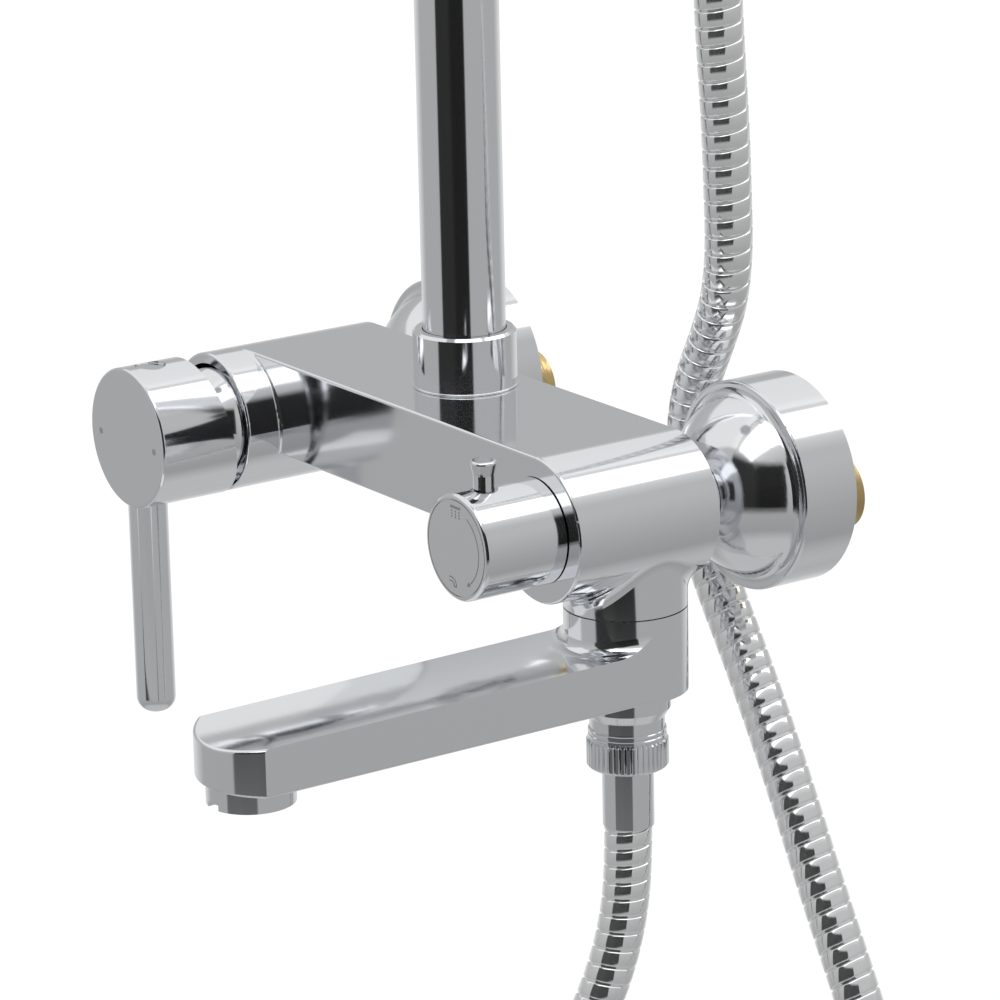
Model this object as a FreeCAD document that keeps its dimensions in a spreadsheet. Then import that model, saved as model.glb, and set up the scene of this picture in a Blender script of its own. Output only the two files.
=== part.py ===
import FreeCAD, Part
import math
import os

import Sketcher

# Wall-mounted shower system: a bath mixer with a swivel spout, a riser with an
# overhead shower, and a hand shower on a slider.
# Frame: +X to the user's right, +Y towards the wall, +Z up.  The wall face is Y = 0,
# both inlet axes lie at Z = 0, and X = 0 is midway between them.  Millimetres.

Vector = FreeCAD.Vector

# Driving sizes: name, value, what it measures
SIZES = [
    ("inlet_spacing", 150.0, "distance between the two inlet axes"),
    ("fit_gap", 0.2, "clearance of pieces that are fixed together"),
    ("run_gap", 0.35, "clearance of pieces that move past each other"),
    ("close_gap", 0.05, "clearance of pins, rods and screws in their holes"),
    ("overcut", 2.0, "how far a cut runs past its piece"),
    ("edge_round", 0.8, "rounding of the outer edges"),
    ("wall_thread_radius", 10.48, "half-inch pipe thread into the wall"),
    ("wall_thread_length", 18.0, "length of the wall thread"),
    ("union_offset", 8.0, "eccentricity of the wall unions"),
    ("union_body_radius", 19.5, "middle of a union"),
    ("union_body_length", 9.0, "length of that middle"),
    ("union_thread_radius", 13.2, "three-quarter-inch thread of a union"),
    ("union_thread_length", 8.0, "length of that thread"),
    ("inlet_bore", 7.0, "radius of the inlet waterway"),
    ("union_washer", 2.0, "thickness of a union washer"),
    ("inlet_spigot_radius", 10.5, "spigot behind the body"),
    ("inlet_lip_radius", 12.2, "lip that the union nut pulls on"),
    ("inlet_lip", 2.4, "thickness of that lip"),
    ("union_nut_corner", 17.3, "radius over the corners of a union nut"),
    ("union_nut_gap", 0.6, "middle of a union to its nut"),
    ("union_nut_web", 2.4, "shoulder of a union nut"),
    ("flange_room", 12.2, "corners of a union nut out to the rim of the wall flange"),
    ("flange_skirt", 17.6, "straight part of the flange"),
    ("flange_wall", 1.5, "wall thickness of the flange"),
    ("flange_ledge", 3.5, "ledge around the flange's dome"),
    ("flange_foot_round", 2.5, "fillet at the foot of the dome"),
    ("dome_arc_inset", 26.4, "rim of the flange in to the centre of the dome's arc"),
    ("dome_arc_reach", 9.45, "wall to that centre"),
    ("body_standoff", 40.2, "wall to the back of the mixer body"),
    ("body_depth", 46.5, "depth of the mixer body"),
    ("end_radius", 20.5, "round ends of the body"),
    ("slab_thickness", 28.1, "bar between the round ends"),
    ("nose_length", 10.9, "left end ahead of the bar"),
    ("channel_radius", 5.0, "waterway along the bar"),
    ("channel_height", 4.0, "height of that waterway"),
    ("cartridge_bore", 17.5, "radius of the cartridge bore"),
    ("cartridge_back", 11.6, "left nose back to the front of the cartridge"),
    ("cartridge_length", 30.0, "cartridge body"),
    ("cartridge_cavity", 11.2, "radius of the opening for the driver"),
    ("driver_drop", 14.0, "lift pivot back to the floor of that opening"),
    ("cartridge_nut", 5.0, "thickness of the clamping ring"),
    ("cartridge_nut_bore", 13.0, "bore of the clamping ring"),
    ("pivot_back", 5.6, "left nose back to the lift pivot of the lever"),
    ("driver_length", 16.5, "rotating driver"),
    ("pivot_pin_radius", 1.5, "pin of the lift pivot"),
    ("stem_width", 7.0, "square stem"),
    ("stem_tail", 8.0, "stem behind the pivot"),
    ("stem_back", 6.3, "face of the cap back to the end of the stem"),
    ("dome_radius", 17.3, "ball-shaped trim behind the lever cap"),
    ("dome_wall", 1.3, "wall of that trim"),
    ("dome_mouth", 11.0, "opening of that trim"),
    ("cap_radius", 20.7, "lever cap"),
    ("cap_length", 28.7, "left nose to the face of the lever cap"),
    ("cap_gap", 0.6, "gap between the cap and the body"),
    ("cap_slant", 8.7, "slope of the cap's rear edge"),
    ("cap_wall", 2.2, "wall of the lever cap"),
    ("cap_crown", 16.3, "face of the cap back to the floor of its hollow"),
    ("rod_radius", 5.75, "lever rod"),
    ("rod_back", 6.0, "face of the cap back to the axis of the rod"),
    ("rod_root", 12.0, "axis of the cap to the rod's root"),
    ("rod_tip", 84.0, "axis of the cap to the rod's tip"),
    ("rod_tip_round", 4.6, "rounding of the tip"),
    ("plug_back", 8.7, "face of the cap back to the axis of the index plug"),
    ("plug_radius", 4.4, "index plug"),
    ("plug_seat", 14.0, "axis of the cap to the plug's seat"),
    ("plug_top", 20.0, "axis of the cap to the plug's top"),
    ("screw_radius", 2.5, "clamping screw under the plug"),
    ("screw_length", 8.0, "length of that screw"),
    ("diverter_bore", 10.6, "radius of the diverter bore"),
    ("diverter_length", 28.7, "diverter cartridge in the body"),
    ("diverter_nose", 7.0, "radius of the diverter's nose"),
    ("nose_gap", 4.0, "end of that nose to the floor of the knob's hollow"),
    ("diverter_nut_radius", 11.5, "gland nut of the diverter"),
    ("diverter_nut", 2.6, "thickness of the gland nut"),
    ("spindle_radius", 3.6, "diverter spindle"),
    ("spindle_root", 6.7, "front of the body back to the inner end of the spindle"),
    ("knob_grip", 7.0, "length of the spindle in the knob"),
    ("knob_radius", 14.8, "diverter knob"),
    ("knob_length", 26.2, "front of the body to the face of the knob"),
    ("knob_wall", 2.2, "skirt of the knob"),
    ("knob_web", 1.0, "knob between the spindle and the head of its screw"),
    ("knob_round", 1.2, "rounding of the knob's front edge"),
    ("plate_radius", 13.2, "face plate of the knob"),
    ("plate_thickness", 1.0, "thickness of the face plate"),
    ("knob_screw_radius", 1.5, "screw that holds the knob"),
    ("knob_screw_head", 3.6, "head of that screw"),
    ("knob_head_depth", 4.9, "recess for the head of that screw"),
    ("knob_screw_head_length", 3.0, "length of the head"),
    ("knob_screw_length", 8.0, "length of the shank"),
    ("pin_back", 9.4, "face of the knob back to the axis of the grip pin"),
    ("pin_radius", 2.95, "grip pin"),
    ("pin_head", 3.8, "flared head of the pin"),
    ("pin_tail", 1.9, "tail of the pin in the knob"),
    ("pin_root", 9.5, "axis of the knob to the end of the tail"),
    ("pin_seat", 14.0, "axis of the knob to the pin's shoulder"),
    ("pin_neck", 18.8, "axis of the knob to the flare"),
    ("pin_top", 22.8, "axis of the knob to the top of the pin"),
    ("spout_reach", 57.6, "wall to the swivel axis of the spout"),
    ("neck_radius", 17.2, "neck under the right end"),
    ("neck_drop", 26.1, "inlet axis down to the spout seam"),
    ("neck_round", 5.5, "fillet of the neck"),
    ("spout_bottom", 50.3, "inlet axis down to the underside of the spout"),
    ("spout_rear_top", 35.5, "inlet axis down to the spout's top at the hub"),
    ("spout_tip_top", 36.8, "the same at the tip"),
    ("spout_half_width", 16.9, "half the width of the spout"),
    ("spout_dish", 1.4, "depth of the dished top"),
    ("spout_length", 135.4, "swivel axis to the tip"),
    ("spout_tip_radius", 22.0, "curve of the tip"),
    ("hub_round", 4.0, "fillet between the hub and the top"),
    ("spout_channel", 4.5, "radius of the waterway in the spout"),
    ("sleeve_radius", 10.3, "sleeve that the spout turns on"),
    ("sleeve_root", 13.0, "inlet axis down to the top of the sleeve"),
    ("sleeve_bore", 6.5, "bore of the sleeve"),
    ("seal_section", 1.0, "section radius of the spout seals"),
    ("upper_seal", 32.0, "inlet axis down to the upper seal"),
    ("lower_seal", 44.0, "inlet axis down to the lower seal"),
    ("slip_ring_radius", 14.0, "slip ring over the hub"),
    ("slip_ring", 1.3, "thickness of the slip ring"),
    ("shoulder_radius", 12.25, "shoulder under the spout"),
    ("shoulder_drop", 55.6, "inlet axis down to the shoulder's chamfer"),
    ("outlet_thread_radius", 10.48, "half-inch thread of the hose outlet"),
    ("shoulder_end", 58.4, "inlet axis down to the end of the chamfer"),
    ("outlet_end", 68.0, "inlet axis down to the end of the thread"),
    ("aerator_reach", 121.9, "swivel axis to the aerator"),
    ("aerator_radius", 12.0, "flange of the aerator"),
    ("aerator_thread", 11.0, "thread of the aerator"),
    ("aerator_drop", 6.0, "aerator below the spout"),
    ("aerator_depth", 6.4, "depth of the aerator's thread"),
    ("aerator_bore", 9.4, "bore of the aerator"),
    ("aerator_slot", 5.0, "width of the wrench slots"),
    ("aerator_slot_depth", 1.6, "depth of the wrench slots"),
    ("aerator_jet", 0.9, "radius of a jet hole"),
    ("aerator_washer", 1.2, "thickness of the aerator washer"),
    ("hose_nut_radius", 11.4, "lower hose nut"),
    ("hose_nut_top", 61.5, "inlet axis down to the nut's upper rim"),
    ("hose_nut_band", 4.4, "plain band above the grip"),
    ("hose_nut_taper", 0.7, "taper of that band"),
    ("hose_nut_end", 73.2, "inlet axis down to the nut's lower end"),
    ("hose_washer", 2.0, "thickness of a hose washer"),
    ("hose_flange", 10.0, "flange of the hose tail"),
    ("hose_flange_thickness", 1.6, "thickness of that flange"),
    ("tail_radius", 4.3, "hose tail"),
    ("tail_bore", 3.2, "bore of the hose tail"),
    ("lower_tail_length", 26.0, "length of the lower hose tail"),
    ("upper_tail_length", 54.0, "length of the upper hose tail"),
    ("ferrule_radius", 7.2, "hose ferrule"),
    ("ferrule_length", 17.2, "length of a ferrule"),
    ("ferrule_web", 3.4, "closed end of a ferrule"),
    ("hose_radius", 6.7, "outside of the hose"),
    ("hose_groove", 0.55, "depth of the grooves between the ribs"),
    ("hose_bore", 4.5, "bore of the hose"),
    ("riser_radius", 11.85, "riser tube"),
    ("riser_wall", 1.2, "wall of the riser tube"),
    ("riser_reach", 58.2, "wall to the riser axis"),
    ("riser_seat", 8.0, "inlet axis up to the riser's seat"),
    ("collar_radius", 14.75, "collar at the foot of the riser"),
    ("collar_height", 16.6, "height of the collar"),
    ("collar_chamfer", 0.8, "chamfer of the collar"),
    ("collar_seal", 0.85, "section radius of the collar's seal"),
    ("coupling_rise", 132.0, "slider up to the joint of the riser tubes"),
    ("coupling_radius", 13.8, "coupling sleeve"),
    ("coupling_length", 44.0, "length of the coupling sleeve"),
    ("arm_rise", 120.0, "wall bracket up to the arm"),
    ("arm_bend", 75.0, "bend of the riser into the arm"),
    ("arm_length", 330.0, "riser axis to the overhead shower"),
    ("arm_drop_bend", 45.0, "bend at the end of the arm"),
    ("arm_drop", 12.0, "straight end of the arm"),
    ("bracket_rise", 43.0, "joint of the riser tubes up to the wall bracket"),
    ("clamp_radius", 17.0, "bracket ring"),
    ("clamp_height", 24.0, "height of the bracket ring"),
    ("post_radius", 8.5, "bracket post"),
    ("rose_radius", 25.0, "bracket rose"),
    ("rose_depth", 11.0, "depth of the rose"),
    ("rose_wall", 1.6, "wall of the rose"),
    ("wall_plate_radius", 20.0, "wall plate under the rose"),
    ("wall_plate", 4.0, "thickness of the wall plate"),
    ("wall_screw_radius", 2.4, "threads of the wall plate's screws"),
    ("wall_screw_shank", 2.2, "plain shanks of those screws"),
    ("wall_screw_spacing", 28.0, "distance between those screws"),
    ("wall_screw_head", 4.0, "heads of those screws"),
    ("wall_screw_length", 40.0, "screws in the wall"),
    ("ball_radius", 9.5, "ball of the overhead shower"),
    ("ball_drop", 26.0, "end of the arm down to the ball"),
    ("ball_neck", 5.0, "neck above the ball"),
    ("ball_nut_radius", 15.5, "nut around the ball"),
    ("ball_nut_rise", 4.5, "ball centre up to the rim of the nut"),
    ("ball_nut_drop", 15.0, "ball centre down to the end of the nut"),
    ("head_radius", 100.0, "overhead shower"),
    ("head_hub_drop", 24.0, "ball centre down to the foot of the hub"),
    ("head_slope", 8.0, "rise of the overhead shower's back"),
    ("head_rim", 7.5, "rim of the overhead shower"),
    ("head_wall", 2.0, "wall of the overhead shower"),
    ("head_plate", 2.5, "spray plate of the overhead shower"),
    ("nozzle_radius", 1.5, "a nozzle"),
    ("nozzle_length", 2.2, "how far a nozzle stands out"),
    ("slider_height", 590.0, "inlet axis up to the slider"),
    ("slider_radius", 19.5, "slider"),
    ("slider_length", 44.0, "length of the slider"),
    ("bush_wall", 1.1, "plastic bush in the slider"),
    ("slider_boss", 12.0, "boss for the holder"),
    ("slider_boss_end", 42.0, "riser axis to the end of that boss"),
    ("holder_stub", 8.0, "stub of the holder in the boss"),
    ("holder_stub_root", 24.0, "riser axis to the end of the stub"),
    ("holder_offset", 66.0, "riser axis to the holder's axis"),
    ("holder_radius", 16.5, "outside of the holder"),
    ("holder_length", 34.0, "length of the holder"),
    ("holder_slot", 15.5, "slot that the hose passes"),
    ("lock_boss", 9.0, "boss for the lock knob"),
    ("lock_boss_end", 27.0, "riser axis to the end of that boss"),
    ("lock_screw_radius", 3.0, "screw of the lock knob"),
    ("lock_knob_radius", 13.0, "lock knob"),
    ("lock_knob_length", 18.0, "length of the lock knob"),
    ("cone_nut_low", 9.2, "narrow end of the conical nut"),
    ("cone_nut_high", 12.4, "wide end of the conical nut"),
    ("cone_nut_length", 44.0, "length of the conical nut"),
    ("cone_nut_drop", 22.0, "holder's middle down to the nut's narrow end"),
    ("handle_thread", 10.0, "thread of the hand shower"),
    ("handle_thread_length", 10.0, "length of that thread"),
    ("handle_waist", 10.4, "slimmest part of the handle"),
    ("handle_waist_height", 95.0, "holder's middle up to that waist"),
    ("handle_end_radius", 11.2, "upper end of the handle"),
    ("handle_bore", 6.5, "bore of the handle"),
    ("hand_head_height", 208.0, "holder's middle up to the spray head"),
    ("hand_head_radius", 50.0, "spray head of the hand shower"),
    ("hand_head_back", 15.0, "handle axis back to the crown of the head"),
    ("hand_head_front", 12.8, "handle axis forward to the face of the head"),
    ("hand_head_shoulder", 41.0, "radius where the crown bends to the rim"),
    ("hand_head_shoulder_back", 8.0, "handle axis back to that bend"),
    ("hand_head_rim", 9.0, "straight rim of the head"),
    ("hand_plate_radius", 45.0, "spray plate of the hand shower"),
    ("hand_plate", 2.4, "thickness of that plate"),
    ("hand_chamber_radius", 42.0, "water chamber behind the plate"),
    ("hand_chamber", 8.0, "depth of that chamber"),
]

# The handle of the hand shower leans forward in its holder
HANDLE_TILT_DEG = 20.0

# The straight run at each end of the hose, and the side its seam keeps to
HOSE_END_RUN = 31.0
HOSE_SIDE = FreeCAD.Vector(0.71, -0.70, 0.0)

# Ribs of the hose: their number, and where along its pitch each groove starts and ends and the
# crest starts and ends
HOSE_RIBS = 200
RIB_SHARES = (0.08, 0.24, 0.32, 1.0)

# The share of the shorter run beside a corner of the route that its bend takes
BEND_SHARE = 0.45

# Radius and number of the holes in each ring of jets
OVERHEAD_RINGS = ((12.0, 6), (28.0, 10), (46.0, 14), (64.0, 18), (82.0, 22))
HAND_RINGS = ((10.0, 6), (22.0, 10), (34.0, 16))
AERATOR_RINGS = ((3.0, 6), (6.2, 12))

# The sizes that the free points of the hose's route are given for: they follow the inlets, pass
# round the flange within this height of its axis, and rise with the slider
ROUTE_HALF_SPACING = 75.0
ROUTE_FLANGE_RADIUS = 29.5
ROUTE_FLANGE_SPAN = 40.0
ROUTE_SLIDER_HEIGHT = 590.0

# Route of the shower hose, from the mixer's outlet down round the loop, up behind the
# mixer and on to the holder; only the free points, in millimetres
HOSE_POINTS = [
    (75.0, -64.0, -130.0),
    (71.0, -76.0, -157.0),
    (63.5, -92.0, -192.0),
    (56.5, -103.0, -236.0),
    (53.5, -107.4, -286.0),
    (53.2, -107.8, -336.0),
    (54.6, -106.4, -384.0),
    (67.9, -93.9, -419.3),
    (92.0, -71.2, -438.5),
    (120.0, -44.8, -438.5),
    (144.1, -22.1, -419.3),
    (157.4, -9.6, -384.0),
    (158.6, -8.4, -336.0),
    (157.0, -8.2, -286.0),
    (150.5, -8.4, -236.0),
    (139.0, -9.2, -190.0),
    (121.0, -10.0, -147.0),
    (102.0, -10.0, -115.0),
    (85.0, -9.2, -86.0),
    (73.5, -8.2, -68.0),
    (65.0, -7.8, -48.0),
    (52.5, -7.6, -35.0),
    (41.0, -7.4, -20.0),
    (36.8, -7.4, -4.0),
    (39.5, -7.4, 14.0),
    (49.0, -7.4, 29.0),
    (57.3, -7.8, 44.0),
    (58.6, -9.0, 62.0),
    (60.5, -11.0, 96.0),
    (63.0, -15.0, 134.0),
    (64.4, -17.6, 190.0),
    (65.2, -19.4, 250.0),
    (65.8, -20.8, 310.0),
    (66.2, -22.6, 370.0),
    (66.4, -26.0, 428.0),
    (66.2, -31.0, 480.0),
]


class Size:
    """A length that carries the sheet expression it comes from."""

    def __init__(self, value, text):
        self.value = value
        self.text = text

    def __add__(self, other):
        other = as_size(other)
        return Size(self.value + other.value, "(%s + %s)" % (self.text, other.text))

    def __sub__(self, other):
        other = as_size(other)
        return Size(self.value - other.value, "(%s - %s)" % (self.text, other.text))

    def __mul__(self, factor):
        return Size(self.value * factor, "(%s * %r)" % (self.text, float(factor)))

    def __truediv__(self, factor):
        return Size(self.value / factor, "(%s / %r)" % (self.text, float(factor)))

    def __neg__(self):
        return self * -1.0


class Loose:
    """A coordinate that the outline's arc fixes by itself."""

    def __init__(self, value):
        self.value = value


class Sizes:
    """The driving sizes by name."""


def as_size(value):
    """Return the value as a Size."""
    return value if isinstance(value, Size) else Size(float(value), "%r" % float(value))


def fill_sheet(doc):
    """Write the driving sizes into the sheet, and return them by name."""
    sheet = doc.addObject("Spreadsheet::Sheet", "Sizes")
    sizes = Sizes()
    for row, (alias, value, note) in enumerate(SIZES, 1):
        sheet.set("A%d" % row, note)
        sheet.set("B%d" % row, "%r" % value)
        sheet.setAlias("B%d" % row, alias)
        setattr(sizes, alias, Size(value, "Sizes.%s" % alias))
    doc.recompute()
    return sizes


doc = FreeCAD.newDocument("shower_system")
S = fill_sheet(doc)
parts = {}

# Ways to stand a piece: its own z axis runs up, out from the wall, or down
UPRIGHT = FreeCAD.Rotation()
OUTWARD = FreeCAD.Rotation(Vector(1, 0, 0), 90)
DOWNWARD = FreeCAD.Rotation(Vector(1, 0, 0), 180)
LEANING = FreeCAD.Rotation(Vector(1, 0, 0), HANDLE_TILT_DEG)

# Turns that lay a cylinder's own axis along a direction of its piece
ALONG = {
    "z": FreeCAD.Rotation(),
    "-z": FreeCAD.Rotation(Vector(1, 0, 0), 180),
    "x": FreeCAD.Rotation(Vector(0, 1, 0), 90),
    "-x": FreeCAD.Rotation(Vector(0, 1, 0), -90),
    "y": FreeCAD.Rotation(Vector(1, 0, 0), -90),
    "-y": FreeCAD.Rotation(Vector(1, 0, 0), 90),
}


def bind(thing, prop, size):
    """Tie a property to the sheet, or set it where the value is a plain number."""
    if isinstance(size, Size):
        thing.setExpression(prop, size.text)
    elif prop.startswith("Placement.Base."):
        base = thing.Placement.Base
        setattr(base, prop[-1], float(size))
        thing.Placement = FreeCAD.Placement(base, thing.Placement.Rotation)
    else:
        setattr(thing, prop, float(size))


def place(thing, at, rotation):
    """Stand a thing at a point, turned by a rotation."""
    thing.Placement = FreeCAD.Placement(Vector(), rotation)
    for axis, size in zip("xyz", at):
        bind(thing, "Placement.Base.%s" % axis, size)


def new_body(label, at=(0, 0, 0), rotation=UPRIGHT):
    """Start a sub-part as a body of its own."""
    body = doc.addObject("PartDesign::Body", label)
    body.Label = label
    place(body, at, rotation)
    parts[label] = body
    return body


def new_sketch(body, name, role, lift=None, rise=None):
    """Open a sketch on one of the body's own planes, lifted along its normal or its height."""
    sketch = body.newObject("Sketcher::SketchObject", name)
    plane = [item for item in body.Origin.OriginFeatures if item.Role == role][0]
    sketch.AttachmentSupport = [(plane, "")]
    sketch.MapMode = "FlatFace"
    if lift is not None:
        sketch.setExpression("AttachmentOffset.Base.z", lift.text)
    if rise is not None:
        sketch.setExpression("AttachmentOffset.Base.y", rise.text)
    return sketch


def pin_point(sketch, geometry, end, point):
    """Tie one point of a sketch to the sheet."""
    for kind, axis, size in (("DistanceX", -2, point[0]), ("DistanceY", -1, point[1])):
        if isinstance(size, Loose):
            continue
        size = as_size(size)
        if size.text == "0.0":
            sketch.addConstraint(Sketcher.Constraint("PointOnObject", geometry, end, axis))
            continue
        index = sketch.addConstraint(Sketcher.Constraint(kind, -1, 1, geometry, end, size.value))
        sketch.setExpression("Constraints[%d]" % index, size.text)


def numbers(point):
    """Return a point's plain coordinates."""
    return [item.value if isinstance(item, (Size, Loose)) else float(item) for item in point]


def draw_outline(sketch, corners, arcs=None, closed=True):
    """Draw lines through the corners; arcs maps a side's number to the centre it bends round."""
    arcs = arcs or {}
    spots = [Vector(*numbers(corner), 0) for corner in corners]
    count = len(corners) if closed else len(corners) - 1
    ends = []
    for side in range(count):
        start, stop = spots[side], spots[(side + 1) % len(spots)]
        if side not in arcs:
            sketch.addGeometry(Part.LineSegment(start, stop), False)
            ends.append((1, 2))
            continue
        centre = Vector(*numbers(arcs[side]), 0)
        first = math.atan2(start.y - centre.y, start.x - centre.x)
        last = math.atan2(stop.y - centre.y, stop.x - centre.x)
        circle = Part.Circle(centre, Vector(0, 0, 1), (start - centre).Length)
        forward = (last - first) % (2 * math.pi) < math.pi
        span = (first, last) if forward else (last, first)
        sketch.addGeometry(Part.ArcOfCircle(circle, *span), False)
        ends.append((1, 2) if forward else (2, 1))
    for side in range(count if closed else count - 1):
        following = (side + 1) % count
        sketch.addConstraint(
            Sketcher.Constraint("Coincident", side, ends[side][1], following, ends[following][0]))
    for side in range(count):
        pin_point(sketch, side, ends[side][0], corners[side])
    if not closed:
        pin_point(sketch, count - 1, ends[-1][1], corners[-1])
    for side, centre in arcs.items():
        pin_point(sketch, side, 3, centre)


def revolve(body, name, corners, arcs=None):
    """Turn an outline of (radius, height) corners about the body's z axis."""
    sketch = new_sketch(body, name + "_outline", "XZ_Plane")
    draw_outline(sketch, corners, arcs)
    feature = body.newObject("PartDesign::Revolution", name)
    feature.Profile = sketch
    feature.ReferenceAxis = (sketch, ["V_Axis"])
    feature.Angle = 360.0
    return feature


def turned(label, corners, at=(0, 0, 0), rotation=UPRIGHT, arcs=None):
    """Make a sub-part that is one turned piece."""
    body = new_body(label, at, rotation)
    revolve(body, label + "_turn", corners, arcs)
    return body


def ring(label, inner, outer, low, high, at=(0, 0, 0), rotation=UPRIGHT):
    """Make a plain ring."""
    return turned(label, [(inner, low), (outer, low), (outer, high), (inner, high)], at, rotation)


def round_bar(body, name, radius, length, at, along="z", cut=False):
    """Add a cylinder to a body, or cut one out of it."""
    kind = "PartDesign::SubtractiveCylinder" if cut else "PartDesign::AdditiveCylinder"
    feature = body.newObject(kind, name)
    place(feature, at, ALONG[along])
    bind(feature, "Radius", radius)
    bind(feature, "Height", length)
    return feature


def bore(body, name, radius, length, at, along="z"):
    """Cut a round hole into a body."""
    return round_bar(body, name, radius, length, at, along, cut=True)


def block(body, name, sides, at, cut=False):
    """Add a box to a body, or cut one out of it; at is its lowest corner."""
    kind = "PartDesign::SubtractiveBox" if cut else "PartDesign::AdditiveBox"
    feature = body.newObject(kind, name)
    place(feature, at, UPRIGHT)
    for prop, size in zip(("Length", "Width", "Height"), sides):
        bind(feature, prop, size)
    return feature


def repeat(body, feature, name, count):
    """Repeat a feature evenly about the body's z axis."""
    pattern = body.newObject("PartDesign::PolarPattern", name)
    pattern.Originals = [feature]
    axis = [item for item in body.Origin.OriginFeatures if item.Role == "Z_Axis"][0]
    pattern.Axis = (axis, [""])
    pattern.Angle = 360.0
    pattern.Occurrences = count
    body.Tip = pattern
    return pattern


def soften(body, name, radius, chosen, kind="PartDesign::Fillet"):
    """Round or chamfer the edges of the body that the test chooses."""
    doc.recompute()
    base = body.Tip
    names = ["Edge%d" % (number + 1) for number, edge in enumerate(base.Shape.Edges) if chosen(edge)]
    feature = body.newObject(kind, name)
    feature.Base = (base, names)
    bind(feature, "Size" if kind.endswith("Chamfer") else "Radius", radius)
    return feature


def group(label, members):
    """Keep like pieces as separate solids of one sub-part."""
    compound = doc.addObject("Part::Compound", label)
    compound.Label = label
    compound.Links = [parts.pop(member) for member in members]
    parts[label] = compound


def rim(radius, height):
    """Choose the round edges of that radius at that height of their own body."""
    near = 0.01

    def chosen(edge):
        curve = edge.Curve
        if curve.TypeId != "Part::GeomCircle" or abs(curve.Radius - radius.value) > near:
            return False
        return abs(edge.BoundBox.ZMin - height.value) < near and edge.BoundBox.ZLength < near

    return chosen


# Places that several pieces share
half_spacing = S.inlet_spacing / 2
body_front = S.body_standoff + S.body_depth
nose_front = body_front + S.nose_length
cartridge_top = nose_front - S.cartridge_back
cartridge_seat = cartridge_top - S.cartridge_length
pivot_reach = nose_front - S.pivot_back
driver_seat = pivot_reach - S.driver_drop
cap_face = nose_front + S.cap_length
cap_floor = cap_face - S.cap_crown
stem_reach = cap_face - S.stem_back
rod_reach = cap_face - S.rod_back
plug_reach = cap_face - S.plug_back
diverter_seat = body_front - S.diverter_length
knob_face = body_front + S.knob_length
plate_seat = knob_face - S.plate_thickness
knob_screw_sink = plate_seat - S.knob_head_depth
spindle_reach = knob_screw_sink - S.knob_web
knob_floor = spindle_reach - S.knob_grip
diverter_nose_reach = knob_floor - S.nose_gap
spindle_tail = body_front - S.spindle_root
pin_reach = knob_face - S.pin_back
coupling_height = S.slider_height + S.coupling_rise
bracket_height = coupling_height + S.bracket_rise
arm_height = bracket_height + S.arm_rise
flange_radius = S.union_nut_corner + S.flange_room
union_nut_start = S.union_body_length + S.union_nut_gap
union_end = S.union_body_length + S.union_thread_length
spigot_end = union_end + S.union_washer
slab_bottom = S.slab_thickness - S.end_radius
outlet_at = (half_spacing, -S.spout_reach, 0)
riser_at = (0, -S.riser_reach, 0)
tube_bore = S.riser_radius - S.riser_wall
riser_socket = S.riser_radius + S.fit_gap
lever_at = (-half_spacing, 0, 0)
knob_at = (half_spacing, 0, 0)


# Wall connections
def wall_union(label, centre):
    """Eccentric union: wall thread, offset middle and body thread, bored through."""
    overlap = S.union_body_length / 3
    body = new_body(label, (centre, 0, 0), OUTWARD)
    round_bar(body, label + "_middle", S.union_body_radius, S.union_body_length, (0, 0, 0))
    round_bar(body, label + "_thread", S.union_thread_radius, union_end, (0, 0, 0))
    round_bar(body, label + "_wall_thread", S.wall_thread_radius,
              S.wall_thread_length, (0, -S.union_offset, 0), "-z")
    bore(body, label + "_bore", S.inlet_bore, union_end - overlap, (0, 0, overlap))
    bore(body, label + "_wall_bore", S.inlet_bore, S.wall_thread_length + overlap * 2,
         (0, -S.union_offset, overlap * 2), "-z")


def wall_flange(label, centre):
    """Wall flange: skirt, ledge and a dome whose mouth slides on the body's spigot."""
    skirt_inner = flange_radius - S.flange_wall
    foot = flange_radius - S.flange_ledge
    foot_inner = foot - S.flange_wall
    ledge_inner = S.flange_skirt - S.flange_wall
    mouth = S.inlet_spigot_radius + S.fit_gap
    arc_radius = flange_radius - S.dome_arc_inset
    arc_centre = (arc_radius, S.dome_arc_reach)
    inset = mouth.value - arc_radius.value

    def top(radius, height):
        """Height at the mouth of an arc that starts at this foot."""
        reach = math.hypot(radius.value - arc_radius.value, height.value - S.dome_arc_reach.value)
        return Loose(S.dome_arc_reach.value + math.sqrt(reach ** 2 - inset ** 2))

    corners = [
        (skirt_inner, 0), (flange_radius, 0), (flange_radius, S.flange_skirt),
        (foot, S.flange_skirt), (mouth, top(foot, S.flange_skirt)),
        (mouth, top(foot_inner, ledge_inner)), (foot_inner, ledge_inner), (skirt_inner, ledge_inner)]
    flange = turned(label, corners, (centre, 0, 0), OUTWARD, {3: arc_centre, 5: arc_centre})
    soften(flange, label + "_foot", S.flange_foot_round, rim(foot, S.flange_skirt))
    soften(flange, label + "_rim", S.edge_round, rim(flange_radius, S.flange_skirt))


def union_nut(label, centre):
    """Hexagon nut that pulls the body's lip onto the union."""
    web = spigot_end + S.inlet_lip + S.fit_gap
    end = web + S.union_nut_web
    body = new_body(label, (centre, 0, 0), OUTWARD)
    prism = body.newObject("PartDesign::AdditivePrism", label + "_hexagon")
    prism.Polygon = 6
    place(prism, (0, 0, union_nut_start), UPRIGHT)
    bind(prism, "Circumradius", S.union_nut_corner)
    bind(prism, "Height", end - union_nut_start)
    bore(body, label + "_thread", S.union_thread_radius + S.fit_gap,
         web - union_nut_start, (0, 0, union_nut_start))
    bore(body, label + "_neck", S.inlet_spigot_radius + S.fit_gap,
         end - union_nut_start, (0, 0, union_nut_start))


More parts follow.
